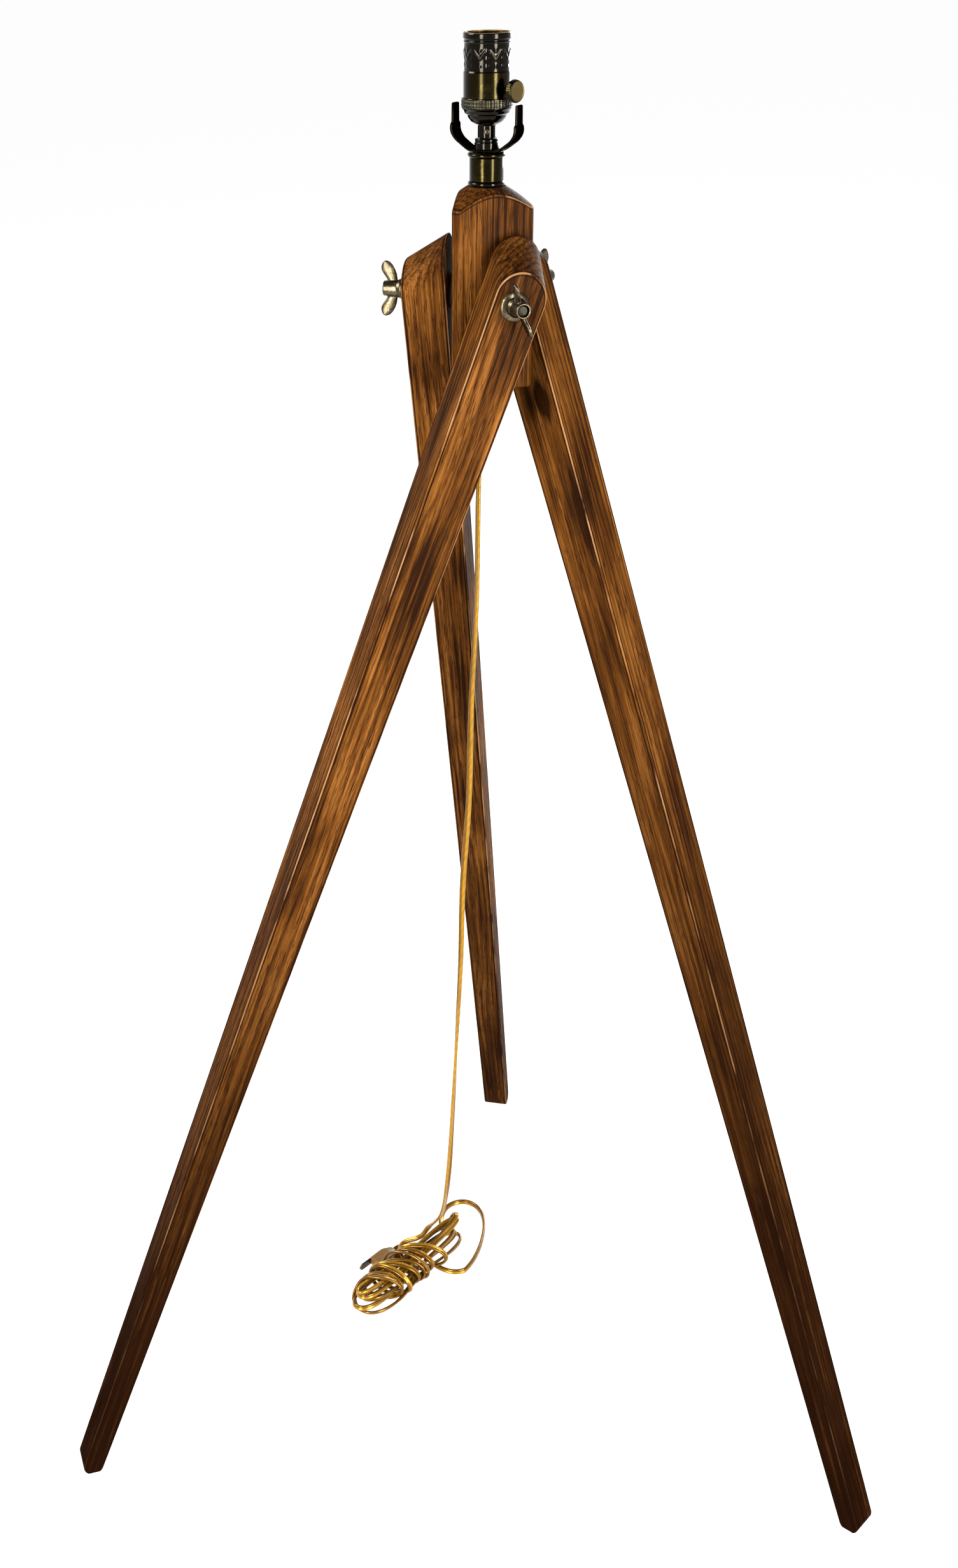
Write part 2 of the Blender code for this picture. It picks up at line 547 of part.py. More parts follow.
def make_socket(finishes, root):
    brass = finishes["dark_brass"]
    spindle_axis = radial(KNOB_AZIMUTH, KNOB_HEIGHT)
    clearance = SPINDLE_RADIUS + 0.4 * MM

    cap = place("socket_cap", turned(cap_outline()), brass, root)
    screw_axis = radial(SET_SCREW_AZIMUTH, SET_SCREW_HEIGHT)
    cut(cap, rod(2 * MM, 4 * MM, 9 * MM, 12), screw_axis)
    place("set_screw", rod(1.7 * MM, PIPE_RADIUS + GAP, STEM_RADIUS + 1.4 * MM, 12),
          finishes["wing_brass"], root, screw_axis)

    shell = place("socket_shell", turned(shell_outline(), 40), brass, root)
    cut(shell, rod(clearance, 12 * MM, 20 * MM, 12), spindle_axis)

    liner_radius = SHELL_RADIUS - SOCKET_WALL - 0.5 * MM - GAP
    liner = place("insulating_sleeve",
                  tube(liner_radius, liner_radius - 0.6 * MM, BODY_BASE + 8 * MM, SHELL_TOP - 5 * MM),
                  finishes["fibre"], root)
    cut(liner, rod(clearance, 12 * MM, 20 * MM, 12), spindle_axis)

    body = place("socket_body", turned(body_outline()), finishes["phenolic"], root)
    cut(body, rod(clearance, 7 * MM, 20 * MM, 12), spindle_axis)

    place("screw_shell", turned(screw_shell_outline(), 24), finishes["screw_shell"], root)
    contact_low = BODY_TOP + GAP
    place("centre_contact",
          turned([(0, contact_low), (4.5 * MM, contact_low), (4.5 * MM, contact_low + 0.8 * MM),
                  (2.5 * MM, contact_low + 2.2 * MM), (0, contact_low + 2.4 * MM)], 16),
          finishes["screw_shell"], root)

    for side, azimuth in (("live", KNOB_AZIMUTH + pi / 2), ("neutral", KNOB_AZIMUTH - pi / 2)):
        height = BODY_BASE + 4 * MM
        place("terminal_" + side, rod(1.9 * MM, 11.4 * MM + GAP, 12.9 * MM, 12),
              finishes["wing_brass"], root, radial(azimuth, height))

    place("switch_spindle", rod(SPINDLE_RADIUS, 7.4 * MM, KNOB_INNER - GAP, 12),
          finishes["wing_brass"], root, spindle_axis)
    knob = [(0, KNOB_INNER), (4 * MM, KNOB_INNER), (KNOB_RADIUS - 0.6 * MM, KNOB_INNER + 0.8 * MM),
            (KNOB_RADIUS, KNOB_INNER + 1.6 * MM), (KNOB_RADIUS, KNOB_OUTER - MM),
            (KNOB_RADIUS - MM, KNOB_OUTER), (0, KNOB_OUTER)]
    place("switch_knob", turned(knob, 28), finishes["wing_brass"], root, spindle_axis)


# ---------------------------------------------------------------- cord

def smooth_route(points, spacing):
    """Read evenly spaced points from a Catmull-Rom curve through the route's points."""
    ends = [2 * points[0] - points[1]] + points + [2 * points[-1] - points[-2]]
    fine = []
    for before, start, end, after in zip(ends, ends[1:], ends[2:], ends[3:]):
        for step in range(24):
            t = step / 24
            fine.append(0.5 * (2 * start + (end - before) * t
                               + (2 * before - 5 * start + 4 * end - after) * t * t
                               + (3 * start - before - 3 * end + after) * t * t * t))
    fine.append(points[-1])
    travelled = [0.0]
    for a, b in zip(fine, fine[1:]):
        travelled.append(travelled[-1] + (b - a).length)
    count = max(2, round(travelled[-1] / spacing))
    result = []
    index = 0
    for step in range(count + 1):
        want = travelled[-1] * step / count
        while index < len(fine) - 2 and travelled[index + 1] < want:
            index += 1
        span = travelled[index + 1] - travelled[index]
        result.append(fine[index].lerp(fine[index + 1], (want - travelled[index]) / span))
    return result


def make_cord_tube(name, points, finish, root):
    curve = bpy.data.curves.new(name, "CURVE")
    curve.dimensions = "3D"
    curve.bevel_depth = CORD_RADIUS
    curve.bevel_resolution = 2
    curve.use_fill_caps = True
    spline = curve.splines.new("POLY")
    spline.points.add(len(points) - 1)
    for target, point in zip(spline.points, points):
        target.co = (*point, 1.0)
    curve.materials.append(finish)
    made = bpy.data.objects.new(name, curve)
    bpy.context.scene.collection.objects.link(made)
    made.parent = root


def hank_frame():
    return (Matrix.Translation((*HANK_CENTRE, GAP)) @ Matrix.Rotation(HANK_ANGLE, 4, "Z"))


def make_cord(finishes, root):
    gold = finishes["gold_cord"]
    hanging = [Vector(point) * MM for point in HANGING_ROUTE]
    make_cord_tube("cord", smooth_route(hanging, 13 * MM), gold, root)
    loop = [Vector((x * MM, y * MM, CORD_REST)) for x, y in LOOP_ROUTE]
    make_cord_tube("cord_loop", smooth_route(loop, 8 * MM), gold, root)

    straight = HANK_HALF_LENGTH - HANK_HALF_WIDTH
    outline = (arc((straight, 0), HANK_HALF_WIDTH, -pi / 2, pi / 2, 12)
               + arc((-straight, 0), HANK_HALF_WIDTH, pi / 2, 3 * pi / 2, 12))
    place("cord_hank", prism(outline, 0, HANK_HEIGHT), gold, root, hank_frame())


def make_plug(finishes, root):
    """Flat two-prong plug lying against the hank's far side, its prongs along the hank."""
    seat = hank_frame() @ Matrix.Translation(
        (PLUG_ALONG_HANK, HANK_HALF_WIDTH + GAP + PLUG_WIDTH / 2, 0))
    half = PLUG_LENGTH / 2
    wide = PLUG_WIDTH / 2
    outline = [(-half, -wide), (half - 8 * MM, -wide), (half, -4 * MM), (half, 4 * MM),
               (half - 8 * MM, wide), (-half, wide)]
    body = place("plug_body", prism(outline, 0, PLUG_THICK), finishes["plug"], root, seat)
    bevel(body, 1.2 * MM, angle=radians(30))
    for name, side in (("plug_prong_near", -1), ("plug_prong_far", 1)):
        offset = side * PRONG_SPACING / 2
        blade = [(-half - GAP - PRONG_LENGTH, offset - PRONG_THICK / 2),
                 (-half - GAP, offset - PRONG_THICK / 2), (-half - GAP, offset + PRONG_THICK / 2),
                 (-half - GAP - PRONG_LENGTH, offset + PRONG_THICK / 2)]
        low = (PLUG_THICK - PRONG_WIDTH) / 2
        place(name, prism(blade, low, low + PRONG_WIDTH), finishes["wing_brass"], root, seat)


# ---------------------------------------------------------------- whole object

def centre_footprint(root):
    """Move the root so that the origin is under the middle of the stand's bounding box."""
    bpy.context.view_layer.update()
    corners = [made.matrix_world @ Vector(corner) for made in root.children
               if made.name not in CORD_NODES for corner in made.bound_box]
    for axis in (0, 1):
        values = [corner[axis] for corner in corners]
        root.location[axis] = -(min(values) + max(values)) / 2


def main():
    for old in list(bpy.data.objects):
        bpy.data.objects.remove(old)
    root = bpy.data.objects.new("stand", None)
    bpy.context.scene.collection.objects.link(root)
    finishes = make_materials()
    make_hub(finishes["oak"], root)
    for side in LEG_AZIMUTHS:
        make_leg(side, finishes["oak"], root)
    make_pivots(finishes, root)
    make_pipe(finishes, root)
    make_neck(finishes, root)
    make_saddle(finishes, root)
    make_socket(finishes, root)
    make_cord(finishes, root)
    make_plug(finishes, root)
    centre_footprint(root)


main()
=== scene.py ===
"""Looks of the wooden tripod floor-lamp base: its finished surfaces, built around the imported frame.

Lengths are in metres.  AXIS is the vertical line through the hub, and most pieces are made in a frame
whose Z axis is that line, with the floor at Z = 0.
"""

from math import acos, atan2, cos, exp, floor, hypot, pi, radians, sin, sqrt

import bmesh
import bpy
import numpy as np
from mathutils import Matrix, Vector
from mathutils.kdtree import KDTree


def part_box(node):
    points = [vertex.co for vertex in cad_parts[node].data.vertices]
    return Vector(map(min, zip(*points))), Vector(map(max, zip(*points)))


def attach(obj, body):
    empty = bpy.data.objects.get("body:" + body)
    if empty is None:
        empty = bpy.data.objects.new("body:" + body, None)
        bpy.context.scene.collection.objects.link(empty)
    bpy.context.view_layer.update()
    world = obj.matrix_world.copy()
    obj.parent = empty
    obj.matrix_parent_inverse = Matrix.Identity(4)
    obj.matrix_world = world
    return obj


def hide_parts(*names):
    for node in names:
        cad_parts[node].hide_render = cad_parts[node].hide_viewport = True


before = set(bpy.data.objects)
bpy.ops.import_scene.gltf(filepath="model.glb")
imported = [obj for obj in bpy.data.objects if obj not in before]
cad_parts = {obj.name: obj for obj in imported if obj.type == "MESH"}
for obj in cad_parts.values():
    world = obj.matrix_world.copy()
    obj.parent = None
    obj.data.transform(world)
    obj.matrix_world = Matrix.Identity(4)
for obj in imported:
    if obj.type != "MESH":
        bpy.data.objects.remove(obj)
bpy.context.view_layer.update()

MM = 0.001
pipe_low, pipe_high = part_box("lamp_pipe")
AXIS = Vector(((pipe_low.x + pipe_high.x) / 2, (pipe_low.y + pipe_high.y) / 2, 0))
BOLT_HEIGHT = (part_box("stud_left")[0].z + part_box("stud_left")[1].z) / 2
LEG_AZIMUTHS = {"front": radians(-60), "right": radians(60), "left": radians(180)}


# ---- camera

CAMERA_PLACE = Vector((0.2313, -1.3927, 1.2725))    # from the foot of the hub's axis
CAMERA_YAW = radians(-13.6)                         # from +Y, clockwise seen from above
CAMERA_PITCH = radians(22.69)                       # downward
CAMERA_ROLL = radians(-1.16)
CAMERA_LENS = 43.66                                 # mm, on 36 mm along the frame's long side
CAMERA_SHIFT = (0.0793, -0.0737)


def make_camera():
    data = bpy.data.cameras.new("camera")
    data.lens = CAMERA_LENS
    data.sensor_width = 36
    data.shift_x, data.shift_y = CAMERA_SHIFT
    data.clip_end = 100
    camera = linked("camera", data)
    camera.matrix_world = (Matrix.Translation(AXIS + CAMERA_PLACE) @ Matrix.Rotation(-CAMERA_YAW, 4, "Z")
                           @ Matrix.Rotation(pi / 2 - CAMERA_PITCH, 4, "X")
                           @ Matrix.Rotation(CAMERA_ROLL, 4, "Z"))
    bpy.context.scene.camera = camera


def linked(name, data):
    """A new object in the scene."""
    made = bpy.data.objects.new(name, data)
    bpy.context.scene.collection.objects.link(made)
    return made


# ---- shader nodes

class Wire:
    """A shader node's output, on which sums can be written out."""

    def __init__(self, socket):
        self.socket = socket

    def __add__(self, other):
        return calc("ADD", self, other)

    def __sub__(self, other):
        return calc("SUBTRACT", self, other)

    def __rsub__(self, other):
        return calc("SUBTRACT", other, self)

    def __mul__(self, other):
        return calc("MULTIPLY", self, other)


def node(kind, inputs, output=0, tree=None, **settings):
    """Add a node, to the tree that its first wired input is in unless one is given."""
    if tree is None:
        tree = next(value.socket.id_data for value in inputs.values() if isinstance(value, Wire))
    made = tree.nodes.new(kind)
    for key, value in settings.items():
        setattr(made, key, value)
    connect(made, inputs)
    return Wire(made.outputs[output])


def connect(made, inputs):
    """Wire or set a node's inputs; a colour may leave out its alpha."""
    for key, value in inputs.items():
        socket = made.inputs[key]
        if isinstance(value, Wire):
            socket.id_data.links.new(value.socket, socket)
        elif socket.type == "RGBA" and len(value) == 3:
            socket.default_value = (*value, 1)
        else:
            socket.default_value = value


def calc(operation, *values):
    return node("ShaderNodeMath", dict(enumerate(values)), operation=operation)


def blend(share, first, second):
    """Mix two colours."""
    return node("ShaderNodeMix", {0: share, 6: first, 7: second}, 2, data_type="RGBA")


def spread(value, low, high, to_low=0.0, to_high=1.0, smooth=False):
    kind = "SMOOTHSTEP" if smooth else "LINEAR"
    inputs = {"Value": value, 1: low, 2: high, 3: to_low, 4: to_high}
    return node("ShaderNodeMapRange", inputs, interpolation_type=kind)


def vector_sum(operation, first, second):
    return node("ShaderNodeVectorMath", {0: first, 1: second}, operation=operation)


def noise(place, scale, detail=2.0, roughness=0.5):
    """Noise at a scale, or stretched by a scale along each axis."""
    if isinstance(scale, tuple):
        place, scale = vector_sum("MULTIPLY", place, scale), 1.0
    inputs = {"Vector": place, "Scale": scale, "Detail": detail, "Roughness": roughness}
    return node("ShaderNodeTexNoise", inputs)


def coordinates(tree, kind="Object"):
    return node("ShaderNodeTexCoord", {}, kind, tree)


def layer(tree, name):
    return node("ShaderNodeAttribute", {}, "Fac", tree, attribute_name=name)


def bump(height, strength, distance, normal=None):
    inputs = {"Height": height, "Strength": strength, "Distance": distance}
    if normal:
        inputs["Normal"] = normal
    return node("ShaderNodeBump", inputs)


def new_material(name):
    made = bpy.data.materials.new(name)
    made.use_nodes = True
    return made, made.node_tree, made.node_tree.nodes["Principled BSDF"]


# ---- materials

OAK_LIGHT = (0.162, 0.061, 0.0120, 1)
OAK_MID = (0.063, 0.0210, 0.0031, 1)
OAK_DARK = (0.0090, 0.0029, 0.0008, 1)
PORE_COLOUR = (0.016, 0.005, 0.002)
# deep stain colour, also used for painted shade
STAIN_AND_SHADE_COLOUR = (0.0060, 0.0019, 0.0008)
# painted highlight on the arrises, partly rubbed wear
RUBBED_HIGHLIGHT_COLOUR = (0.23, 0.120, 0.050)
RING_WIDTH = 4.2 * MM


def oak(name, grain, pith, seed, dark_spans=(), dark_patch=None):
    """Stained open-pored oak.

    grain is the matrix from the wood's own frame, Z along the grain, to the row frame.  pith is where
    the tree's centre passes, across the grain.  dark_spans are (start, end, depth) along the grain over
    which the wood darkens, with stain and painted shade.  The last argument is a dark patch's middle.
    """
    made, tree, shader = new_material(name)
    inputs = {"Vector": coordinates(tree), "Location": grain.translation, "Rotation": grain.to_euler()}
    place = node("ShaderNodeMapping", inputs, vector_type="TEXTURE")
    moved = vector_sum("ADD", place, (seed, seed * 0.7, seed * 1.3))
    x, y, z = (node("ShaderNodeSeparateXYZ", {0: place}, axis) for axis in range(3))

    # growth rings round the pith, drifting slowly along the grain
    across, aside = x + pith[0], y + pith[1]
    away = calc("SQRT", across * across + aside * aside)
    bent = away + noise(moved, (9, 9, 2.6)) * 0.030 + noise(moved, (70, 70, 9)) * 0.0050
    ring = calc("FRACT", bent * (1 / RING_WIDTH))
    early = spread(ring, 0.0, 0.16) * spread(ring, 0.55, 0.20)

    # open pores: short dashes along the grain, crowded into the early wood
    patchy = noise(moved, (120, 120, 14))
    crowd = early * 0.07 + patchy * 0.22
    pores = spread(noise(moved, (1900, 1900, 80), 1.5) + crowd, 0.705, 0.765)
    hairs = spread(noise(moved, (3400, 3400, 110), 1), 0.58, 0.75)
    fibre = noise(moved, (620, 620, 9), 5, 0.70)
    streaks = noise(moved, (260, 260, 3.5), 3, 0.60)
    cloud = noise(moved, (30, 30, 9), 3)

    tone = fibre * 0.40 + cloud * 0.40 + streaks * 0.28 - early * 0.05
    ramp = node("ShaderNodeValToRGB", {0: tone})
    stops = ramp.socket.node.color_ramp.elements
    stops[0].position, stops[0].color = 0.440, OAK_DARK
    stops[1].position, stops[1].color = 0.655, OAK_LIGHT
    stops.new(0.545).color = OAK_MID
    colour = blend(hairs * 0.34, ramp, OAK_DARK)
    colour = blend(pores * 0.90, colour, PORE_COLOUR)

    # darker stain in the end grain of the leg tops and the hub's turned shoulder, partly painted shade
    # there; painted shade on the hub's narrow corner faces and down the lower legs to the feet; and a
    # dark patch on the right leg below the hub
    deep = layer(tree, "stain_and_shade") * spread(fibre, 0.25, 0.75, 0.42, 0.22)
    for start, end, depth in dark_spans:
        share = spread(z + (cloud - 0.5) * ((end - start) * 1.2), start, end, smooth=True)
        deep = calc("MAXIMUM", deep, share * spread(tone, 0.54, 0.66, 1.0, 0.84) * depth)
    # a ragged dark patch on the right leg's inner face, just below the hub
    if dark_patch:
        gap = vector_sum("MULTIPLY", vector_sum("SUBTRACT", place, dark_patch), (70, 70, 48))
        reach = node("ShaderNodeVectorMath", {0: gap}, "Value", operation="LENGTH")
        ragged = reach + (patchy - 0.5) * 1.6
        deep = calc("MAXIMUM", deep, spread(ragged, 1.0, 0.55, 0.0, 0.93))
    colour = blend(deep, colour, STAIN_AND_SHADE_COLOUR)

    # arrises: a painted highlight along the edge, partly rubbed wear, with stain and painted shade left
    # beside it
    arris = layer(tree, "arris")
    broken = noise(moved, (60, 60, 22), 3)
    beside = spread(arris, 0.01, 0.16) * spread(arris, 0.80, 0.50)
    colour = blend(beside * spread(broken, 0.35, 0.60, 0.72, 1.0), colour, STAIN_AND_SHADE_COLOUR)
    rubbed_highlight = spread(arris, 0.70, 0.92) * spread(broken, 0.58, 0.42, 0.0, 0.85)
    colour = blend(rubbed_highlight * (1.0 - deep), colour, RUBBED_HIGHLIGHT_COLOUR)

    grooves = bump(1.0 - pores, 0.55, 0.00022, bump(cloud, 0.10, 0.0008))
    connect(shader, {"Base Color": colour, "Roughness": cloud * 0.16 + 0.34 + pores * 0.30,
                     "Specular IOR Level": (1.0 - deep) * 0.008,
                     "Normal": bump(fibre, 0.22, 0.00012, grooves)})
    return made


def aged_metal(name, colour, worn, roughness, speckle=0.5, scratch=0.15, pits=0.0, lacquer=0.0,
               edge=1.0):
    """Brass or steel with a patina: base colour broken by a brighter worn one, smudged gloss."""
    made, tree, shader = new_material(name)
    place = coordinates(tree)
    blotch = noise(place, 95, 4, 0.6)
    grit = noise(place, 900, 3, 0.65)
    rub = spread(blotch * 0.65 + grit * 0.35, 0.50, 0.72)
    uneven = (grit - 0.45) * scratch + roughness
    normal = bump(grit, 0.05 + pits, 0.0001)
    connect(shader, {"Base Color": blend(rub * speckle, colour, worn), "Metallic": 1.0,
                     "Specular Tint": (edge, edge, edge), "Coat Weight": lacquer,
                     "Coat Roughness": 0.09, "Roughness": calc("MAXIMUM", uneven, 0.06),
                     "Normal": bump(blotch, 0.06 + pits, 0.0004, normal)})
    return made


def moulded(name, colour, second, roughness, grain=700, relief=0.08):
    """Plastic, fibre or card with a faint mottle."""
    made, tree, shader = new_material(name)
    place = coordinates(tree)
    mottle = noise(place, grain, 3, 0.6)
    share = spread(mottle * 0.5 + noise(place, grain / 12) * 0.5, 0.35, 0.65)
    connect(shader, {"Base Color": blend(share, colour, second),
                     "Roughness": mottle * 0.12 + roughness, "Normal": bump(mottle, relief, 0.0002)})
    return made


def gold_vinyl(name):
    """Clear gold insulation over tinned strands, one lobe of the lead darker than the other."""
    made, tree, shader = new_material(name)
    lay = calc("SINE", layer(tree, "strands") * (2 * pi))
    strands = spread(lay, -1, 1, 0.0, 0.45)
    bright = blend(strands, (0.36, 0.182, 0.010), (0.24, 0.110, 0.005))
    dark = blend(strands, (0.16, 0.070, 0.0025), (0.095, 0.038, 0.0012))
    both = blend(spread(layer(tree, "lobe"), 0.42, 0.58), dark, bright)
    smudge = spread(noise(coordinates(tree), 60, 3), 0.45, 0.75, 0.0, 0.35)
    connect(shader, {"Base Color": blend(smudge, both, (0.10, 0.042, 0.002)), "Roughness": 0.27,
                     "Metallic": 0.75, "Coat Weight": 0.06, "Coat Roughness": 0.12,
                     "Normal": bump(lay, 0.12, 0.0001)})
    return made


METALS = {                  # colour, worn colour, roughness and the rest of aged_metal's values
    "dark_brass": ((0.0055, 0.0042, 0.0024), (0.018, 0.0135, 0.006), 0.12, 0.8, 0.15, 0, 0.13),
    "glow_brass": ((0.0110, 0.0084, 0.0024), (0.042, 0.032, 0.0075), 0.16, 0.8, 0.15, 0, 0.03),
    "saddle_brass": ((0.0055, 0.0042, 0.0024), (0.012, 0.0090, 0.004), 0.34, 0.8, 0.15, 0, 0, 0.12),
    "band_brass": ((0.018, 0.016, 0.010), (0.070, 0.062, 0.040), 0.32, 0.9),
    "wing_brass": ((0.055, 0.043, 0.025), (0.27, 0.22, 0.14), 0.28, 0.9, 0.25, 0.25),
    "knob_brass": ((0.10, 0.070, 0.024), (0.16, 0.115, 0.045), 0.42),
    "rim_brass": ((0.30, 0.20, 0.075), (0.45, 0.32, 0.13), 0.3),
    "bright_brass": ((0.62, 0.52, 0.28), (0.75, 0.66, 0.40), 0.25),
    "steel": ((0.020, 0.017, 0.012), (0.050, 0.043, 0.032), 0.48, 0.5, 0.3),
}
MOULDINGS = {               # two colours, roughness, grain and relief
    "fibre": ((0.018, 0.014, 0.011), (0.035, 0.028, 0.022), 0.7, 1500, 0.3),
    "card": ((0.14, 0.095, 0.045), (0.20, 0.14, 0.07), 0.75, 2200, 0.3),
    "phenolic": ((0.018, 0.010, 0.008), (0.03, 0.018, 0.014), 0.28),
    "plug": ((0.105, 0.048, 0.004), (0.15, 0.070, 0.007), 0.3, 300, 0.05),
}
FINISHES = {}


def make_finishes():
    for name, values in METALS.items():
        FINISHES[name] = aged_metal(name, *values)
    for name, values in MOULDINGS.items():
        FINISHES[name] = moulded(name, *values)
    FINISHES["gold_vinyl"] = gold_vinyl("gold_vinyl")


# ---- mesh makers

def mm(*points):
    return [tuple(value * MM for value in point) for point in points]


def new_mesh(name, points, faces):
    mesh = bpy.data.meshes.new(name)
    mesh.from_pydata([tuple(point) for point in points], [], faces)
    return mesh


def piece(name, shape, finish, replaces, body="head", matrix=None, sharp=32, layers=None):
    """A shown object made from (points, faces) in its own frame, riding on a body.

    finish names a finish, or is a wood.  replaces names the CAD nodes it stands for, and layers gives
    named values for each point, which its material reads.
    """
    mesh = new_mesh(name, *shape)
    mesh.validate()
    for layer_name, values in (layers or {}).items():
        mesh.attributes.new(layer_name, "FLOAT", "POINT").data.foreach_set("value", values)
    finished(mesh, FINISHES.get(finish, finish), sharp)
    made = linked(name, mesh)
    mesh.transform(Matrix.Translation(AXIS) @ (matrix or Matrix.Identity(4)))
    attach(made, body)
    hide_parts(*replaces.split())
    return made


def outward(mesh):
    """Turn a closed mesh's faces outward."""
    shape = bmesh.new()
    shape.from_mesh(mesh)
    bmesh.ops.recalc_face_normals(shape, faces=shape.faces)
    shape.to_mesh(mesh)
    shape.free()


def finished(mesh, material, sharp=32):
    outward(mesh)
    mesh.materials.clear()
    mesh.materials.append(material)
    mesh.shade_smooth()
    mesh.set_sharp_from_angle(angle=radians(sharp))


def eased(start, corner, end, steps):
    """Points on the curve that eases a corner between two points."""
    for step in range(steps + 1):
        t = step / steps
        yield tuple((1 - t) ** 2 * start + 2 * t * (1 - t) * corner + t * t * end)


def rounded(outline, radius, steps=3):
    """Round each corner of a closed outline that is off the axis."""
    result = []
    for index, corner in enumerate(outline):
        here = Vector(corner)
        before = Vector(outline[index - 1]) - here
        after = Vector(outline[(index + 1) % len(outline)]) - here
        reach = min(radius, 0.45 * before.length, 0.45 * after.length)
        if reach <= 0 or here.x <= 0:
            result.append(tuple(here))
        else:
            result += eased(here + before.normalized() * reach, here,
                            here + after.normalized() * reach, steps)
    return result


def turned(outline, steps=72, relief=None):
    """Revolve a closed (radius, height) outline; relief(angle, radius, height) adds to the radius."""
    points, rings = [], []
    for radius, height in outline:
        if radius <= 1e-9:
            rings.append([len(points)])
            points.append((0, 0, height))
            continue
        rings.append(list(range(len(points), len(points) + steps)))
        for step in range(steps):
            angle = 2 * pi * step / steps
            out = radius + (relief(angle, radius, height) if relief else 0)
            points.append((out * cos(angle), out * sin(angle), height))
    faces = []
    for low, high in zip(rings, rings[1:] + rings[:1]):
        faces += ring_faces(low, high)
    return points, faces


def ring_faces(low, high):
    """Faces between two closed rings, either of which may be a single point."""
    if len(low) == 1 and len(high) == 1:
        return []
    count = max(len(low), len(high))
    faces = []
    for index in range(count):
        after = (index + 1) % count
        if len(low) == 1:
            faces.append((low[0], high[after], high[index]))
        elif len(high) == 1:
            faces.append((low[index], low[after], high[0]))
        else:
            faces.append((low[index], low[after], high[after], high[index]))
    return faces


def fine_outline(outline, longest):
    """Split an outline's long edges so that relief has points to move."""
    result = []
    for index, start in enumerate(outline):
        end = outline[(index + 1) % len(outline)]
        parts = max(1, int(hypot(end[0] - start[0], end[1] - start[1]) / longest))
        for step in range(parts):
            t = step / parts
            result.append((start[0] + (end[0] - start[0]) * t, start[1] + (end[1] - start[1]) * t))
    return result


def radial(azimuth, height=0.0, spin=0.0):
    """Frame whose Z points outward from the hub's axis at a height."""
    return (Matrix.Translation((0, 0, height)) @ Matrix.Rotation(azimuth, 4, "Z")
            @ Matrix.Rotation(pi / 2, 4, "Y") @ Matrix.Rotation(spin, 4, "Z"))


def raised(height):
    return Matrix.Translation((0, 0, height))


def swept(sections, cap=True):
    """Skin closed sections that each have the same number of points, with flat ends."""
    points, rings = [], []
    for section in sections:
        rings.append(list(range(len(points), len(points) + len(section))))
        points += section
    faces = []
    for low, high in zip(rings, rings[1:]):
        faces += ring_faces(low, high)
    if cap:
        faces += [tuple(rings[0]), tuple(rings[-1][::-1])]
    return points, faces


def evaluated(made):
    """The mesh of an object after its modifiers."""
    bpy.context.view_layer.update()
    return bpy.data.meshes.new_from_object(made.evaluated_get(bpy.context.evaluated_depsgraph_get()))


def cut(target, points, faces, matrix):
    """Cut a finished piece with a shape given in the frame of a matrix from the hub's axis."""
    place = Matrix.Translation(AXIS) @ matrix
    mesh = new_mesh("cutter", [place @ Vector(point) for point in points], faces)
    outward(mesh)
    tool = linked("cutter", mesh)
    step = target.modifiers.new("cut", "BOOLEAN")
    step.operation, step.solver, step.object = "DIFFERENCE", "EXACT", tool
    result = evaluated(target)
    target.modifiers.clear()
    target.data = result
    finished(result, result.materials[0])
    bpy.data.objects.remove(tool)


def drill(target, radius, low, high, matrix):
    cut(target, *turned([(0, low), (radius, low), (radius, high), (0, high)], 40), matrix)


def bowed(value, power):
    """A sine or cosine bent towards a square's or a diamond's outline."""
    return abs(value) ** power * (1 if value > 0 else -1)


def flowing(guides, steps):
    """Points on the Catmull-Rom curve through all guide points but the two that steer its ends."""
    fine = []
    for before, start, end, after in zip(guides, guides[1:], guides[2:], guides[3:]):
        for t in (step / steps for step in range(steps)):
            fine.append(0.5 * (2 * start + (end - before) * t
                               + (2 * before - 5 * start + 4 * end - after) * t * t
                               + (3 * start - before - 3 * end + after) * t * t * t))
    return fine + [guides[-2]]


def around(count):
    """Equal angles round a circle."""
    return [2 * pi * step / count for step in range(count)]


def arc(middle, radius, start, end, steps, high=None):
    """Points on a circle's arc, or on an ellipse's where its height isn't its radius."""
    angles = [start + (end - start) * step / steps for step in range(steps + 1)]
    return [(middle[0] + radius * cos(angle), middle[1] + (high or radius) * sin(angle))
            for angle in angles]


# ---- cord

CORD_WIDTH = 5.0 * MM
LOBE_RADIUS = 1.36 * MM
LOBE_OPENING = radians(122)     # half of a lobe's arc, up to the groove between the two
TIGHTEST_BEND = 6.5 * MM
CORD_APART = 3.7 * MM           # between the middles of crossing strands
LARGEST_PUSH = 1.2 * MM         # of one strand by another, in one round of settling
FLOOR_GAP = 2.05 * MM
HANGING_TURN = radians(70)
TURN_START, TURN_LENGTH = 0.42, 0.25    # along the cord
SETTLING_ROUNDS = 90
SMOOTHING_ROUNDS = 60
ROUTE_SPACING = 2.4 * MM        # between points while the cord settles
SKIN_SPACING = 1.5 * MM         # between its finished sections

# The hanging stretch, in metres from the foot of the hub's axis
HANGING_ROUTE = [
    (0.0, 0.0, 0.9009), (0.0, 0.0, 0.885), (-0.0039, -0.0009, 0.84), (-0.0053, 0.0008, 0.74),
    (-0.0094, 0.0029, 0.65), (-0.0116, 0.0054, 0.56), (-0.0167, 0.0073, 0.48), (-0.0188, 0.0098, 0.4),
    (-0.0227, 0.013, 0.32), (-0.027, 0.0182, 0.24), (-0.0332, 0.031, 0.16), (-0.0428, 0.0534, 0.098),
    (-0.055, 0.073, 0.066), (-0.064, 0.0838, 0.05), (-0.0674, 0.0876, 0.042), (-0.068, 0.0882, 0.0352),
]
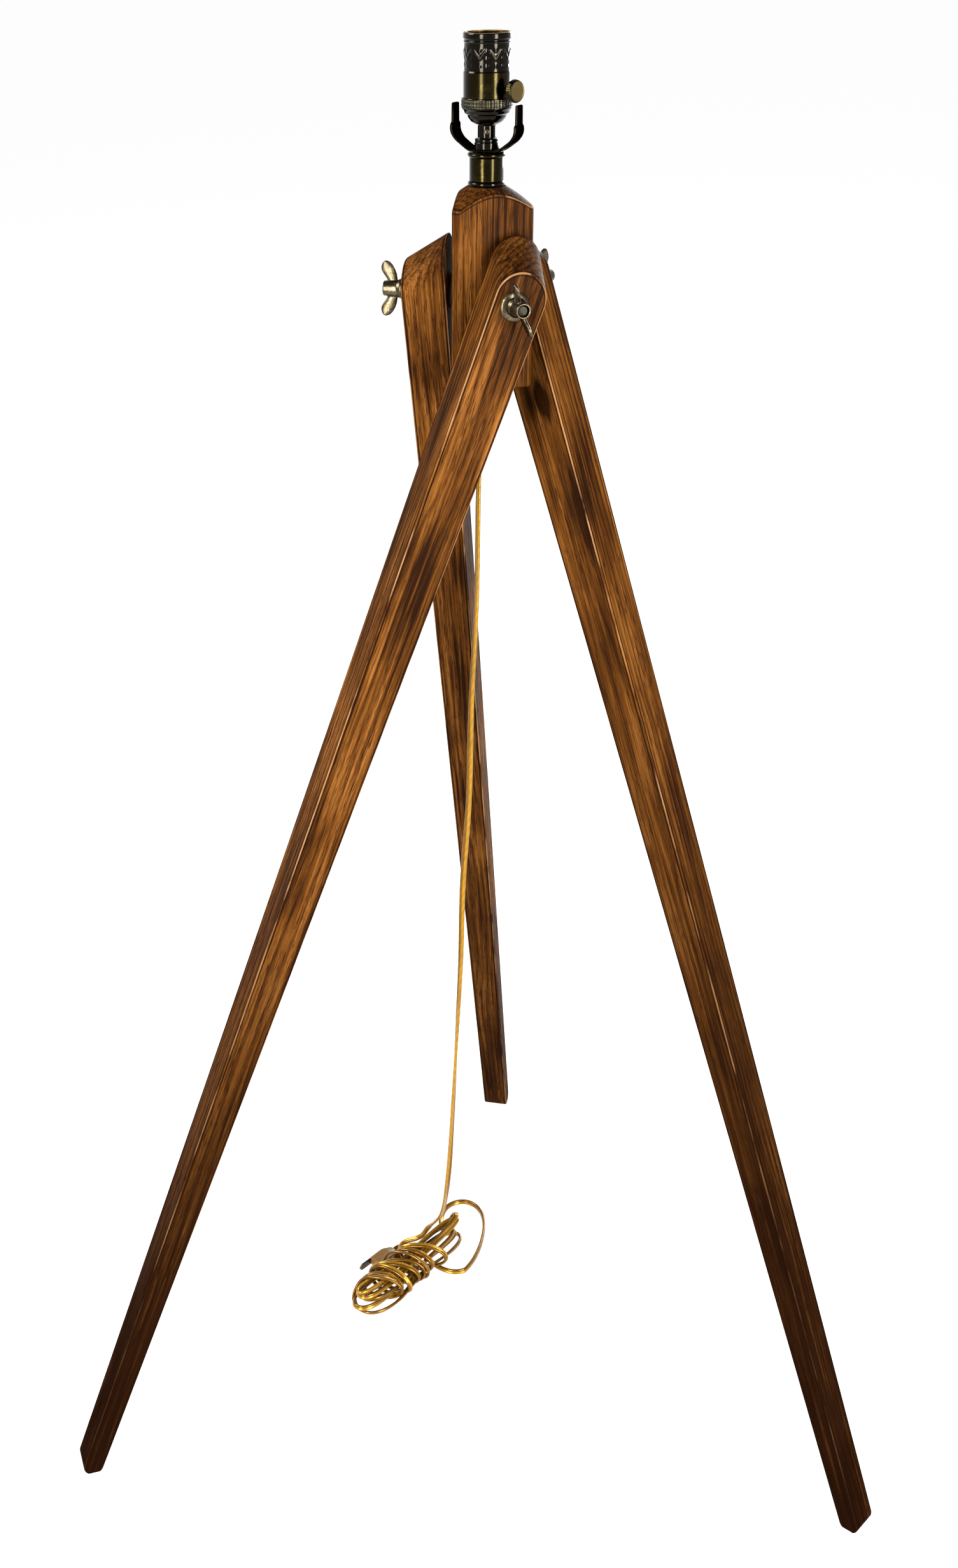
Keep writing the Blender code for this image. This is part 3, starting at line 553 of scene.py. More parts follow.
# The loose loop on the floor beside the hank, from the hank's tip round to its low side
LOOP_ROUTE = [
    (-0.0599, 0.1376), (-0.0624, 0.1475), (-0.0644, 0.16), (-0.0618, 0.175), (-0.054, 0.1845),
    (-0.0435, 0.1876), (-0.033, 0.183), (-0.0244, 0.171), (-0.0194, 0.152), (-0.0182, 0.13),
    (-0.0196, 0.112), (-0.023, 0.0955), (-0.0282, 0.083), (-0.0346, 0.078), (-0.0393, 0.0797),
]
LOOP_HEIGHT = 2.8 * MM
HANK = Matrix.Translation((-0.080, 0.064, 0)) @ Matrix.Rotation(radians(60), 4, "Z")
WRAPS = 8
RUN_LOOPS = 4.5


def wrap_points():
    """Turns round the bundle's middle, from its tip side towards its round end, tilted by turns.

    Points here are in mm in the hank's frame: along, across, up.
    """
    points = []
    for step in range(WRAPS * 16 + 1):
        turn = step / 16
        angle = radians(80) - 2 * pi * turn
        swell = 1 + 0.10 * sin(2.3 * turn + 1)
        lean = 9 + 6 * sin(1.7 * turn + 0.6)
        points.append((27 - 72 * turn / WRAPS - lean * cos(angle), 22 * swell * cos(angle),
                       17 + 13.6 * swell * sin(angle)))
    return points


def run_points():
    """Long loops through the wraps: round and open at one end, drawn to a fan's tip at the other."""
    points = []
    for step in range(int(RUN_LOOPS * 28) + 1):
        turn = step / 28
        angle = pi + 2 * pi * turn
        along, aside = cos(angle), sin(angle)
        reach = 70 + 5 * sin(2.1 * turn)
        width = 17.5 - 2.2 * turn + 3.5 * sin(2.7 * turn + 1)
        if along < 0:
            place, side = -reach * abs(along) ** 0.75, width * 1.15
        else:
            place, side = reach * 1.06 * abs(along) ** 0.85, max(width * 0.70, 6.5)
        height = 7 + 5.2 * turn
        squeeze = exp(-(place / 30) ** 2)
        height += squeeze * (16 - height) * 0.35
        height += max(0.0, place / reach) ** 2 * (1.5 + 1.8 * (turn - 2))
        points.append((place, side * bowed(aside, 0.6) * (1 - 0.30 * squeeze), height))
    return points


def cord_route():
    """The whole cord's guide points: down from the bushing, wraps, long loops, loose loop, plug."""
    def hank(*points):
        return [HANK @ Vector(point) for point in mm(*points)]

    route = [Vector(point) for point in HANGING_ROUTE]
    pinned = len(route) - 4
    route += hank(*wrap_points(), (-51, 17, 17), (-64, 14, 8), *run_points())
    loop_start = len(route)
    route += [Vector((x, y, LOOP_HEIGHT)) for x, y in LOOP_ROUTE]
    loop_end = len(route)
    route += hank((30, -19, 3), (31, -6, 2.5), (34, 8, 2.5), (36.5, 20, 2.5), (35, 29, 3),
                  (28, 34, 4.2), (22, 34.8, 4.8), (17, 34.8, 4.8))
    return route, pinned, (loop_start, loop_end)


def smooth_curve(points, spacing):
    """Evenly spaced points on a curve, and the distance along it of each guide point."""
    steps = 16
    guides = [2 * points[0] - points[1]] + points + [2 * points[-1] - points[-2]]
    line = np.array([tuple(point) for point in flowing(guides, steps)])
    along = travelled(line)
    at = np.linspace(0, along[-1], int(along[-1] / spacing) + 1)
    even = np.stack([np.interp(at, along, line[:, k]) for k in range(3)], axis=1)
    return even, along[::steps]


def travelled(line):
    """Distance along a line of points, at each point."""
    return np.concatenate([[0], np.cumsum(np.linalg.norm(np.diff(line, axis=0), axis=1))])


def crossings(line, skip):
    """How far each point is pushed by strands that come too close."""
    tree = KDTree(len(line))
    for index, point in enumerate(line):
        tree.insert(point, index)
    tree.balance()
    push = np.zeros_like(line)
    for index, point in enumerate(line):
        for _, other, distance in tree.find_range(point, CORD_APART):
            if other - index > skip:
                away = (line[index] - line[other]) / max(distance, 1e-7)
                shift = 0.5 * (CORD_APART - distance) * away
                push[index] += shift
                push[other] -= shift
    return np.clip(push, -LARGEST_PUSH, LARGEST_PUSH)


def relaxed(line, held):
    """Let the cord settle: crossings push apart, bends even out, nothing sinks into the floor."""
    step = np.linalg.norm(np.diff(line, axis=0), axis=1).mean()
    skip = int(2.2 * CORD_APART / step)
    free = (~held)[:, None]

    # strands push apart, bends even out, and the stretch between points stays as long as it was
    for _ in range(SETTLING_ROUNDS):
        line = line + crossings(line, skip) * 0.6 * free
        even = np.copy(line)
        even[1:-1] += 0.28 * (0.5 * (line[:-2] + line[2:]) - line[1:-1])
        line = np.where(free, even, line)
        for parity in (0, 1, 0, 1):
            start = np.arange(parity, len(line) - 1, 2)
            gap = line[start + 1] - line[start]
            size = np.linalg.norm(gap, axis=1)[:, None]
            fix = 0.5 * (size - step) * gap / np.maximum(size, 1e-9)
            line[start] += fix * free[start]
            line[start + 1] -= fix * free[start + 1]
        line[:, 2] = np.maximum(line[:, 2], np.where(held, line[:, 2], FLOOR_GAP))

    # bends sharper than the tightest are drawn out, the others hardly
    for _ in range(SMOOTHING_ROUNDS):
        even = np.copy(line)
        lean = 0.5 * (line[:-2] + line[2:]) - line[1:-1]
        sharp = np.linalg.norm(lean, axis=1) / (0.5 * step * step / TIGHTEST_BEND) - 1
        even[1:-1] += (0.06 + 0.85 * np.clip(sharp, 0, 1))[:, None] * lean
        line = np.where(free, even, line)
    return line


def cord_frames(line):
    """For each point, the cord's direction and that of its width: across the bend, as it bends best."""
    ahead = np.gradient(line, axis=0)
    ahead /= np.linalg.norm(ahead, axis=1)[:, None]
    first = np.cross(ahead[0], (0.3, 1.0, 0.1))
    carried = [first / np.linalg.norm(first)]
    for index in range(1, len(line)):
        side = carried[-1] - ahead[index] * np.dot(carried[-1], ahead[index])
        carried.append(side / np.linalg.norm(side))
    carried = np.array(carried)
    other = np.cross(ahead, carried)
    bend = np.cross(ahead, np.gradient(ahead, axis=0))
    x, y = (bend * carried).sum(1), (bend * other).sum(1)

    # the width may point either way, so its angle is doubled while it is averaged
    double = 2 * np.arctan2(y, x)
    strength = np.minimum(np.hypot(x, y) + 1e-9, 0.25)
    pull = np.stack([np.cos(double), np.sin(double)], axis=1) * strength[:, None]

    # where hardly any bend decides, the hanging stretch turns once on its way down
    turn = HANGING_TURN * np.clip((travelled(line) - TURN_START) / TURN_LENGTH, 0, 1)
    pull += 0.004 * np.stack([np.cos(2 * turn), np.sin(2 * turn)], axis=1)
    kernel = np.exp(-np.linspace(-2.5, 2.5, 31) ** 2 / 2)
    kernel /= kernel.sum()
    pull = np.stack([np.convolve(pull[:, k], kernel, mode="same") for k in range(2)], axis=1)
    angle = np.unwrap(np.arctan2(pull[:, 1], pull[:, 0])) / 2
    angle = np.convolve(np.pad(angle, 15, mode="edge"), kernel, mode="valid")
    angle = angle + 0.5 * np.sin(np.arange(len(line)) * 0.017)
    return ahead, np.cos(angle)[:, None] * carried + np.sin(angle)[:, None] * other


def lobe_section():
    """Two round lobes side by side, as (across, up, which lobe) points."""
    centre = CORD_WIDTH / 2 - LOBE_RADIUS
    section = []
    for side, turn, lobe in ((1, 0, 1.0), (-1, pi, 0.0)):
        outer = arc((side * centre, 0), LOBE_RADIUS, turn - LOBE_OPENING, turn + LOBE_OPENING, 8)
        section += [(x, y, lobe) for x, y in outer]
    return section


def make_cord():
    """The cord in one skin, and the points along its middle."""
    route, pinned, loop = cord_route()
    line, marks = smooth_curve(route, ROUTE_SPACING)
    along = np.linspace(0, marks[-1], len(line))
    held = (along < marks[pinned]) | (along > marks[-1] - 8 * MM)
    held |= (along > marks[loop[0]] + 15 * MM) & (along < marks[loop[1] - 1] - 15 * MM)
    line = relaxed(line, held)
    fine, _ = smooth_curve([Vector(point) for point in line], SKIN_SPACING)
    ahead, wide = cord_frames(fine)
    section = lobe_section()
    rings, lobes, strands = [], [], []
    for point, across, above, distance in zip(fine, wide, np.cross(ahead, wide), travelled(fine)):
        rings.append([Vector(point + x * across + y * above) for x, y, _ in section])
        lobes += [mark for _, _, mark in section]
        strands += [distance / (9 * MM) + x / (4 * MM) for x, _, _ in section]
    cord = piece("lamp_cord", swept(rings), "gold_vinyl", "cord cord_loop cord_hank", sharp=70,
                 layers={"lobe": lobes, "strands": strands})
    return cord, [Vector(point) + AXIS for point in fine]


# ---- plug

def make_plug():
    """Flat moulded plug against the hank's far side, with its grip ribs and two blades."""
    place = HANK @ Matrix.Translation(mm((4, 34.8, 0.3))[0])
    length, width, thick = 26, 17, 9.5          # mm
    sections = []
    for step in range(33):
        share = step / 32
        nose = sqrt(max(0.0, 1 - max(0.0, (0.06 - share) / 0.06) ** 2)) * 0.12 + 0.88
        taper = 1 - 0.50 * max(0.0, (share - 0.62) / 0.38) ** 1.3
        ribs = 0.35 * max(0.0, sin(2 * pi * share * 7)) if 0.2 < share < 0.8 else 0
        half_wide = (width / 2 - 0.4) * nose * taper + ribs
        half_thick = (thick / 2 - 0.1) * nose * (1 - 0.35 * max(0.0, (share - 0.7) / 0.3))
        sections.append(mm(*[(-length / 2 + length * share, bowed(cos(angle), 0.55) * half_wide,
                              thick / 2 + bowed(sin(angle), 0.6) * half_thick)
                             for angle in around(32)]))
    pieces = [piece("plug_shell", swept(sections), "plug", "plug_body", matrix=place, sharp=40)]
    outline = [(0, -3.2), (12.4, -3.2), (14.6, -1.8), (15, 0), (14.6, 1.8), (12.4, 3.2), (0, 3.2)]
    for name, side in (("plug_prong_near", -1), ("plug_prong_far", 1)):
        levels = []
        for up, inset in ((-0.8, 0.25), (-0.6, 0), (0.6, 0), (0.8, 0.25)):
            levels.append(mm(*[(-length / 2 - 0.2 - max(0.0, x - inset), side * 6.35 + up,
                                thick / 2 + z * (1 - inset / 3.2)) for x, z in outline]))
        pieces.append(piece(name + "_blade", swept(levels), "wing_brass", name, matrix=place))
    return pieces


# ---- wood

LEG_SPREAD = radians(21)
LEG_LENGTH = 1055 * MM
LEG_THICK = (34 * MM, 24.5 * MM)        # at the pivot and at the tip
LEG_WIDTH = (39.8 * MM, 17.2 * MM)
LEG_LINE_OFFSET = 3.2 * MM
LEG_TOP = {-1: 28 * MM, 1: 5 * MM}      # centre of the round top, on the hub side and outside
LEG_ROUND = 1.5 * MM
LEG_MIDDLE = 42.2 * MM                  # hub's axis to the middle of a leg
PITHS = {"front": (0.035, 0.050), "right": (0.060, -0.020), "left": (-0.095, 0.030)}
# leg tops: darker stain in the end grain, partly painted shade
TOP_STAIN_AND_SHADE = (0.012, 0.036, 0.45)
# painted shade: the lower legs darken towards the feet, as (start, end, depth) along the grain
LOWER_SHADE = {"front": ((-0.36, -0.98, 0.98),),
               "right": ((-0.22, -0.82, 0.88), (-0.80, -1.00, 0.98)),
               "left": ((-0.45, -1.00, 0.66),)}
# a dark patch on the right leg's inner face below the hub
DARK_PATCH = (0.0257, -0.001, -0.088)       # dark mark on the right leg, in the leg's frame
TOP_STEPS = 20
SIDE_STEPS = 40
TIP_STEPS = 12
BOLT_HOLE = 4.3 * MM


def half_size(sizes, z):
    """Half of a leg's width or thickness at a height above its pivot."""
    return (sizes[0] + (sizes[1] - sizes[0]) * max(0.0, -z) / LEG_LENGTH) / 2


def leg_chain(side, hand):
    """Half of a leg's outline from the top down to the foot: (y, z) points on one hand, +1 or -1."""
    radius, tip = LEG_WIDTH[0] / 2, LEG_WIDTH[1] / 2
    foot = -(LEG_LENGTH - tip)
    heights = [foot * step / SIDE_STEPS for step in range(1, SIDE_STEPS)]
    chain = arc((0, LEG_TOP[side]), radius, pi / 2, 0, TOP_STEPS)
    chain += [(half_size(LEG_WIDTH, z), z) for z in heights]
    chain += arc((0, foot), tip, 0, -pi / 2, TIP_STEPS)
    return [(hand * y + LEG_LINE_OFFSET, z) for y, z in chain]


def above_floor(y, z, lift):
    """Keep a point of the outline on the leg's side of the level cut under its foot."""
    depth = min(0.0, -sin(LEG_SPREAD) * y + cos(LEG_SPREAD) * z + BOLT_HEIGHT - lift)
    return y + sin(LEG_SPREAD) * depth, z - cos(LEG_SPREAD) * depth


def leg_outline(side, inset):
    loop = leg_chain(side, 1) + leg_chain(side, -1)[-2:0:-1]
    shrunk = []
    for index, point in enumerate(loop):
        along = Vector(loop[(index + 1) % len(loop)]) - Vector(loop[index - 1])
        moved = Vector(point) + Vector((along.y, -along.x)).normalized() * inset
        shrunk.append(above_floor(moved.x, moved.y, inset))
    return shrunk


def leg_matrix(side):
    return (raised(BOLT_HEIGHT) @ Matrix.Rotation(LEG_AZIMUTHS[side], 4, "Z")
            @ Matrix.Rotation(-LEG_SPREAD, 4, "X"))


def make_leg(side, finish):
    """Tapered leg with eased edges, a slanting round top and a level foot."""
    levels = [(0.0, LEG_ROUND * 1.7, 0.0)]          # depth from the face, inset and arris
    for step in range(7):
        angle = pi / 2 * step / 6
        levels.append((LEG_ROUND * (1 - cos(angle)), LEG_ROUND * (1 - sin(angle)),
                       0.3 + 0.7 * sin(2 * angle)))
    levels.append((LEG_ROUND * 1.7, 0.0, 0.0))
    rings, arris = [], []
    for face, order in ((-1, levels), (1, levels[::-1])):
        for depth, inset, edge in order:
            ring = []
            for (y0, z0), (y1, z1) in zip(leg_outline(-1, inset), leg_outline(1, inset)):
                share = depth / (2 * half_size(LEG_THICK, z0))
                share = share if face < 0 else 1 - share
                y, z = y0 + (y1 - y0) * share, z0 + (z1 - z0) * share
                ring.append((LEG_MIDDLE + face * (half_size(LEG_THICK, z) - depth), y, z))
            rings.append(ring)
            arris += [edge] * len(ring)
    points, faces = swept(rings, cap=False)
    count = len(rings[0])
    for first, order in ((0, 1), (count * (len(rings) - 1), -1)):
        for a in range(count // 2):
            corners = dict.fromkeys((a, a + 1, (count - a - 1) % count, (count - a) % count))
            if len(corners) > 2:
                faces.append(tuple(first + k for k in corners)[::order])
    leg = piece(side + "_leg_wood", (points, faces), finish, "leg_" + side, side + "_leg",
                leg_matrix(side), 40, {"arris": arris})
    drill(leg, BOLT_HOLE, LEG_MIDDLE - 25 * MM, LEG_MIDDLE + 25 * MM,
          radial(LEG_AZIMUTHS[side], BOLT_HEIGHT))


HUB_APOTHEM = 20.5 * MM
HUB_FACE_WIDTH = 56 * MM
HUB_BOTTOM, HUB_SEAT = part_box("hub_block")[0].z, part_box("hub_block")[1].z
HUB_SEAT_RADIUS = 14.2 * MM
HUB_ROUND = 0.8 * MM
HUB_BORE = 5.25 * MM


def on_shoulder(radius, drop=0.0):
    """A radius with the turned shoulder's height there."""
    out = max(0.0, radius - HUB_SEAT_RADIUS)
    return radius, HUB_SEAT - 0.62 * out - 4.5 * out * out - drop


def hub_outline():
    """Triangle with cut corners, its arrises rounded, as closely spaced (x, y) points."""
    reach = hypot(HUB_APOTHEM, HUB_FACE_WIDTH / 2)
    half = acos(HUB_APOTHEM / reach)
    corners = [Vector((reach * cos(azimuth + side), reach * sin(azimuth + side)))
               for azimuth in sorted(LEG_AZIMUTHS.values()) for side in (-half, half)]
    result = []
    for index, here in enumerate(corners):
        before = (corners[index - 1] - here).normalized() * 1.6 * MM
        after = (corners[(index + 1) % 6] - here).normalized() * 1.6 * MM
        result += eased(here + before, here, here + after, 5)
    return fine_outline(result, 1.6 * MM)


def make_hub(finish):
    """Three-sided block whose turned shoulder gives each wide face its arched top."""
    outline = hub_outline()
    rings, arris, stain_and_shade, corner_shade = [], [], [], []
    # painted shade on the narrow corner faces
    for x, y in outline:
        off_face = min(abs((atan2(y, x) - azimuth + pi) % (2 * pi) - pi)
                       for azimuth in LEG_AZIMUTHS.values())
        corner_shade.append(0.62 if off_face > radians(54) else 0.0)

    def ring(place, edge=0.0, dark=0.0):
        """Add a ring: place gives its radius and height for a distance out to the outline, and dark the
        stain and painted shade on it.
        """
        rings.append([])
        for point in outline:
            far = hypot(*point)
            radius, height = place(far)
            rings[-1].append((*(Vector(point) * (radius / far)), height))
        arris.extend([edge] * len(outline))
        stain_and_shade.extend([max(dark, share) for share in corner_shade])

    ring(lambda far: (HUB_BORE, HUB_BOTTOM))
    ring(lambda far: (far - 2.2 * MM, HUB_BOTTOM))
    for t in (0, 0.25, 0.5, 0.75, 1):
        ring(lambda far: (far - (1 - t) ** 2 * 1.4 * MM, HUB_BOTTOM + t * t * 1.4 * MM))
    for share in (0.02, 0.25, 0.5, 0.75, 0.985):
        ring(lambda far: (far, HUB_BOTTOM + (on_shoulder(far)[1] - HUB_BOTTOM) * share))
    # the arch's rounded edge and the turned shoulder darken: stain in the end grain, partly painted shade
    for t in (0, 0.2, 0.4, 0.6, 0.8, 1):
        ring(lambda far: on_shoulder(far - 2 * t * t * HUB_ROUND, 2 * (1 - t) ** 2 * HUB_ROUND),
             edge=0.3 + 0.7 * sin(pi * t), dark=t)
    for share in (0.06, 0.25, 0.5, 0.75, 0.92):
        ring(lambda far: on_shoulder(far - 2 * HUB_ROUND
                                     - share * (far - 2 * HUB_ROUND - HUB_SEAT_RADIUS)), dark=1.0)
    ring(lambda far: (HUB_SEAT_RADIUS, HUB_SEAT), dark=1.0)
    ring(lambda far: (HUB_BORE, HUB_SEAT), dark=1.0)
    count = len(outline)
    points, faces = swept(rings, cap=False)
    faces += ring_faces(list(range(len(points) - count, len(points))), list(range(count)))
    hub = piece("hub", (points, faces), finish, "hub_block", sharp=28,
                layers={"arris": arris, "stain_and_shade": stain_and_shade})
    for azimuth in LEG_AZIMUTHS.values():
        drill(hub, BOLT_HOLE, 8.3 * MM, 26 * MM, radial(azimuth, BOLT_HEIGHT))


def make_wood():
    for index, side in enumerate(LEG_AZIMUTHS):
        make_leg(side, oak("oak_" + side, Matrix.Translation(AXIS) @ leg_matrix(side), PITHS[side],
                           3.1 + 1.7 * index, LOWER_SHADE[side] + (TOP_STAIN_AND_SHADE,),
                           DARK_PATCH if side == "right" else None))
    make_hub(oak("oak_hub", Matrix.Translation(AXIS + Vector((0, 0, HUB_SEAT))), (0.050, 0.075), 9.7))


# ---- pivot hardware

STUD_RADIUS = 4 * MM
THREAD_PITCH = 1.4111 * MM
THREAD_DEPTH = 0.45 * MM
STUD_ROOT, STUD_TIP = 8.6 * MM, 75.7 * MM
SPACER_SEAT = 20.8 * MM
WASHER_SEAT = 59.5 * MM
NUT_SEAT = 62.2 * MM
WING_NUT_TURNS = {"front": radians(18), "right": radians(-12), "left": radians(4)}


def stud_shape():
    """Rod with a helical thread."""
    root, length = STUD_RADIUS - 2 * THREAD_DEPTH, STUD_TIP - STUD_ROOT
    count = int(length / THREAD_PITCH * 6)
    outline = [(0.0, STUD_ROOT), (root, STUD_ROOT)]
    outline += [(STUD_RADIUS, STUD_ROOT + THREAD_DEPTH + (length - 2 * THREAD_DEPTH) * k / count)
                for k in range(count + 1)]
    outline += [(root, STUD_TIP), (0.0, STUD_TIP)]

    def relief(angle, radius, height):
        phase = height / THREAD_PITCH - angle / (2 * pi)
        return -THREAD_DEPTH * abs(2 * (phase - floor(phase)) - 1) if radius >= STUD_RADIUS else 0.0

    return turned(outline, 24, relief)


def ear(direction):
    """One ear of a wing nut: a plate with rounded edges that flares out and up."""
    spine = [(3.6, 7.6, 3.6), (6.5, 8.0, 3.8), (9.5, 9.0, 4.4), (12.5, 10.6, 4.9), (15.2, 12.2, 4.9),
             (17.6, 13.5, 4.0), (19.3, 14.4, 2.3), (19.9, 14.7, 0.8)]
    sections = []
    for index, (out, up, half) in enumerate(spine):
        thick = 1.9 - 0.10 * index
        tilt = radians(12 + 3.5 * index)
        section = []
        for angle in around(16):
            z = half * bowed(sin(angle), 0.9)
            section.append((direction * (out - z * sin(tilt)), thick * bowed(cos(angle), 0.75),
                            up + z * cos(tilt)))
        sections.append(mm(*section))
    return swept(sections)


def wing_nut_shape():
    """Cast wing nut: flanged barrel with a bore and two ears, melted into one skin."""
    barrel = rounded(mm((4.25, 0), (7.7, 0), (7.4, 2.2), (6.2, 4.2), (5.9, 10), (5.5, 15), (4.25, 15)),
                     0.7 * MM)
    points, faces = [], []
    for part_points, part_faces in (turned(barrel, 48), ear(1), ear(-1)):
        faces += [tuple(len(points) + k for k in face) for face in part_faces]
        points += part_points
    mesh = new_mesh("wing_nut", points, faces)
    outward(mesh)
    blank = linked("wing_nut_blank", mesh)
    melt = blank.modifiers.new("melt", "REMESH")
    melt.mode = "VOXEL"
    melt.voxel_size = 0.34 * MM
    soften = blank.modifiers.new("soften", "SMOOTH")
    soften.factor = 0.5
    soften.iterations = 7
    result = evaluated(blank)
    bpy.data.objects.remove(blank)
    return [vert.co for vert in result.vertices], [tuple(face.vertices) for face in result.polygons]


def make_pivots():
    nut = wing_nut_shape()
    crown = mm((10.75, 0), (11, 0.35), (10.6, 0.95), (9.6, 1.55), (8.2, 2.05), (6.6, 2.35), (4.5, 2.4),
               (4.25, 2.2), (4.25, 0))
    spacer = rounded(mm((4.4, 0), (13, 0), (13, 4.1), (4.4, 4.1)), 0.5 * MM)
    for side, azimuth in LEG_AZIMUTHS.items():
        axis = radial(azimuth, BOLT_HEIGHT)
        piece(side + "_stud", stud_shape(), "steel", "stud_" + side, matrix=axis)
        piece(side + "_spacer", turned(spacer, 64), "fibre", "spacer_" + side,
              matrix=axis @ raised(SPACER_SEAT))
        piece(side + "_washer_dome", turned(crown, 64), "wing_brass", "washer_" + side,
              side + "_washer", axis @ raised(WASHER_SEAT))
        piece(side + "_wing_nut_cast", nut, "wing_brass", "wing_nut_" + side, side + "_wing_nut",
              radial(azimuth, BOLT_HEIGHT, WING_NUT_TURNS[side]) @ raised(NUT_SEAT), 60)


# ---- neck and saddle

def standing(node_name, *points):
    """A (radius, height) outline in mm up from a CAD node's base, or down from its top if negative.

    None stands for the top itself.
    """
    low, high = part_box(node_name)
    return [(radius * MM, high.z if rise is None else (low.z if rise >= 0 else high.z) + rise * MM)
            for radius, rise in points]


def turning(name, node_name, outline, finish, corner=0.4 * MM, steps=96, relief=None, longest=None):
    shape = rounded(outline, corner)
    if longest:
        shape = fine_outline(shape, longest)
    return piece(name, turned(shape, steps, relief), finish, node_name)


def ring_outline(node_name, outer, bead):
    """A ring with a rolled outer bead, filling its CAD node's height."""
    low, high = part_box(node_name)
    middle, half, bore = (low.z + high.z) / 2, (high.z - low.z) / 2, 5.3 * MM
    bulge = arc((outer - bead, middle), bead, radians(-75), radians(75), 10, high=half)
    return [(bore, low.z), (outer - bead, low.z)] + bulge + [(outer - bead, high.z), (bore, high.z)]


def make_neck():
    turning("neck_foot_ring", "neck_ring", ring_outline("neck_ring", 13.45 * MM, 1.3 * MM),
            "dark_brass", 0)
    turning("neck_barrel", "neck_tube",
            standing("neck_tube", (10.95, 0), (12.35, 0), (12.35, None), (10.95, None)), "glow_brass")
    turning("neck_top_flange", "neck_flange", ring_outline("neck_flange", 13.8 * MM, 1.7 * MM),
            "glow_brass", 0)
    turning("collar_nut", "saddle_collar",
            standing("saddle_collar", (5.3, 0), (8.8, 0), (8.8, 4.6), (8.1, 5.0), (8.5, 5.6), (8.5, -0.6),
                     (7.8, None), (5.3, None)), "dark_brass")


SADDLE_AZIMUTH = radians(-18)
SADDLE_SHEET = 1.6 * MM
SADDLE_HALF_WIDTHS = (7.0, 7.0, 6.9, 6.6, 6.6, 6.8, 7.2, 7.3, 7.0, 5.6, 5.1, 4.8, 4.2, 3.4)


def saddle_line():
    """The bent strip from arm to arm, as (distance, height, half width) along its middle sheet."""
    half = standing("harp_saddle", (0, 0.8), (8.5, 0.8), (11.5, 1.3), (15, 3.2), (19, 6.0), (21.8, 8.1),
                    (24.4, 11.4), (25.6, 14.8), (25.6, 18.0), (25.6, 19.6), (25.6, 20.8),
                    (25.6, -1.6), (25.6, -0.4), (25.6, None))
    half = [(x, z, wide * MM) for (x, z), wide in zip(half, SADDLE_HALF_WIDTHS)]
    guides = [Vector((-x, z, wide)) for x, z, wide in half[:0:-1]] + [Vector(point) for point in half]
    return flowing(guides[:1] + guides + guides[-1:], 4)


def make_saddle():
    """Bent strip with two upright arms, shouldered where a harp's feet would stop."""
    line = saddle_line()
    thick, soft = SADDLE_SHEET / 2, 0.45 * MM
    sections = []
    for index, here in enumerate(line):
        back, ahead = line[max(0, index - 1)], line[min(len(line) - 1, index + 1)]
        along = Vector((ahead.x - back.x, ahead.y - back.y)).normalized()
        wide = here.z
        edge = [(wide, thick - soft), (wide - soft, thick), (wide * 0.35, thick)]
        half = [(y, -n) for y, n in edge[::-1]] + edge
        section = []
        for y, n in [(-y, n) for y, n in half[2::-1]] + half + [(-y, n) for y, n in half[:2:-1]]:
            dished = abs(y) < wide * 0.5 and abs(here.x) > 16 * MM
            out = n - 0.35 * MM if dished else n
            section.append((here.x - along.y * out, y, here.y + along.x * out))
        sections.append(section)
    saddle = piece("harp_saddle_strip", swept(sections), "saddle_brass", "harp_saddle",
                   matrix=Matrix.Rotation(SADDLE_AZIMUTH, 4, "Z"), sharp=35)
    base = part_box("harp_saddle")[0].z
    drill(saddle, 5.25 * MM, base - 5 * MM, base + 5 * MM, Matrix.Identity(4))


# ---- socket

CAP_SHOULDER = 1104.8 * MM
CAP_RIM = 1123.6 * MM
CAP_RADIUS = 18.2 * MM
SHELL_RADIUS = 17 * MM
SHELL_TOP = 1168 * MM
SHELL_SHEET = 0.7 * MM
KNOB_AXIS = radial(radians(-33), 1129 * MM)
SET_SCREW_AXIS = radial(radians(-80), 1100.3 * MM)


def band_relief(angle, radius, height):
    """Crossed fine cuts on the band that grips the shell."""
    if radius < CAP_RADIUS - 0.35 * MM or not CAP_RIM - 6.3 * MM < height < CAP_RIM - 0.9 * MM:
        return 0.0
    turn = angle * 44 / (2 * pi)
    rise = (height - CAP_RIM) / (2.4 * MM)
    return 0.30 * MM * sin(pi * (turn + rise)) * sin(pi * (turn - rise))


def shell_relief(angle, radius, height):
    """A stamped row of chevrons with a dot under each, between the two beads."""
    low, high = SHELL_TOP - 25.5 * MM, SHELL_TOP - 7.5 * MM
    if radius < SHELL_RADIUS - 0.85 * MM or not low < height < high:
        return 0.0
    count = 9
    x = ((angle / (2 * pi) * count) % 1 - 0.5) * 2 * pi * SHELL_RADIUS / count / MM
    y = (height - (low + high) / 2) / MM
    arm = abs(y + 1.2 - 1.35 * abs(x)) / hypot(1, 1.35)
    chevron = exp(-(arm / 0.75) ** 2) if y < 6.6 and abs(x) < 4.2 else 0.0
    dot = exp(-(x ** 2 + (y - 4.4) ** 2) / 1.3 ** 2)
    low_dot = exp(-(x ** 2 + (y + 6.0) ** 2))
    edge = exp(-((abs(x) - 5.6) / 0.7) ** 2) * (0.5 + 0.5 * cos(2 * pi * y / 5.2))
    return 0.42 * MM * max(chevron, dot, 0.8 * low_dot, 0.7 * edge)


def paint(made, finishes, choose, matrix=Matrix.Identity(4)):
    """Give a piece more finishes; choose(radius, height) tells a face's by its place."""
    inverse = (Matrix.Translation(AXIS) @ matrix).inverted()
    for finish in finishes:
        made.data.materials.append(FINISHES[finish])
    for face in made.data.polygons:
        local = inverse @ face.center
        face.material_index = choose(hypot(local.x, local.y), local.z)


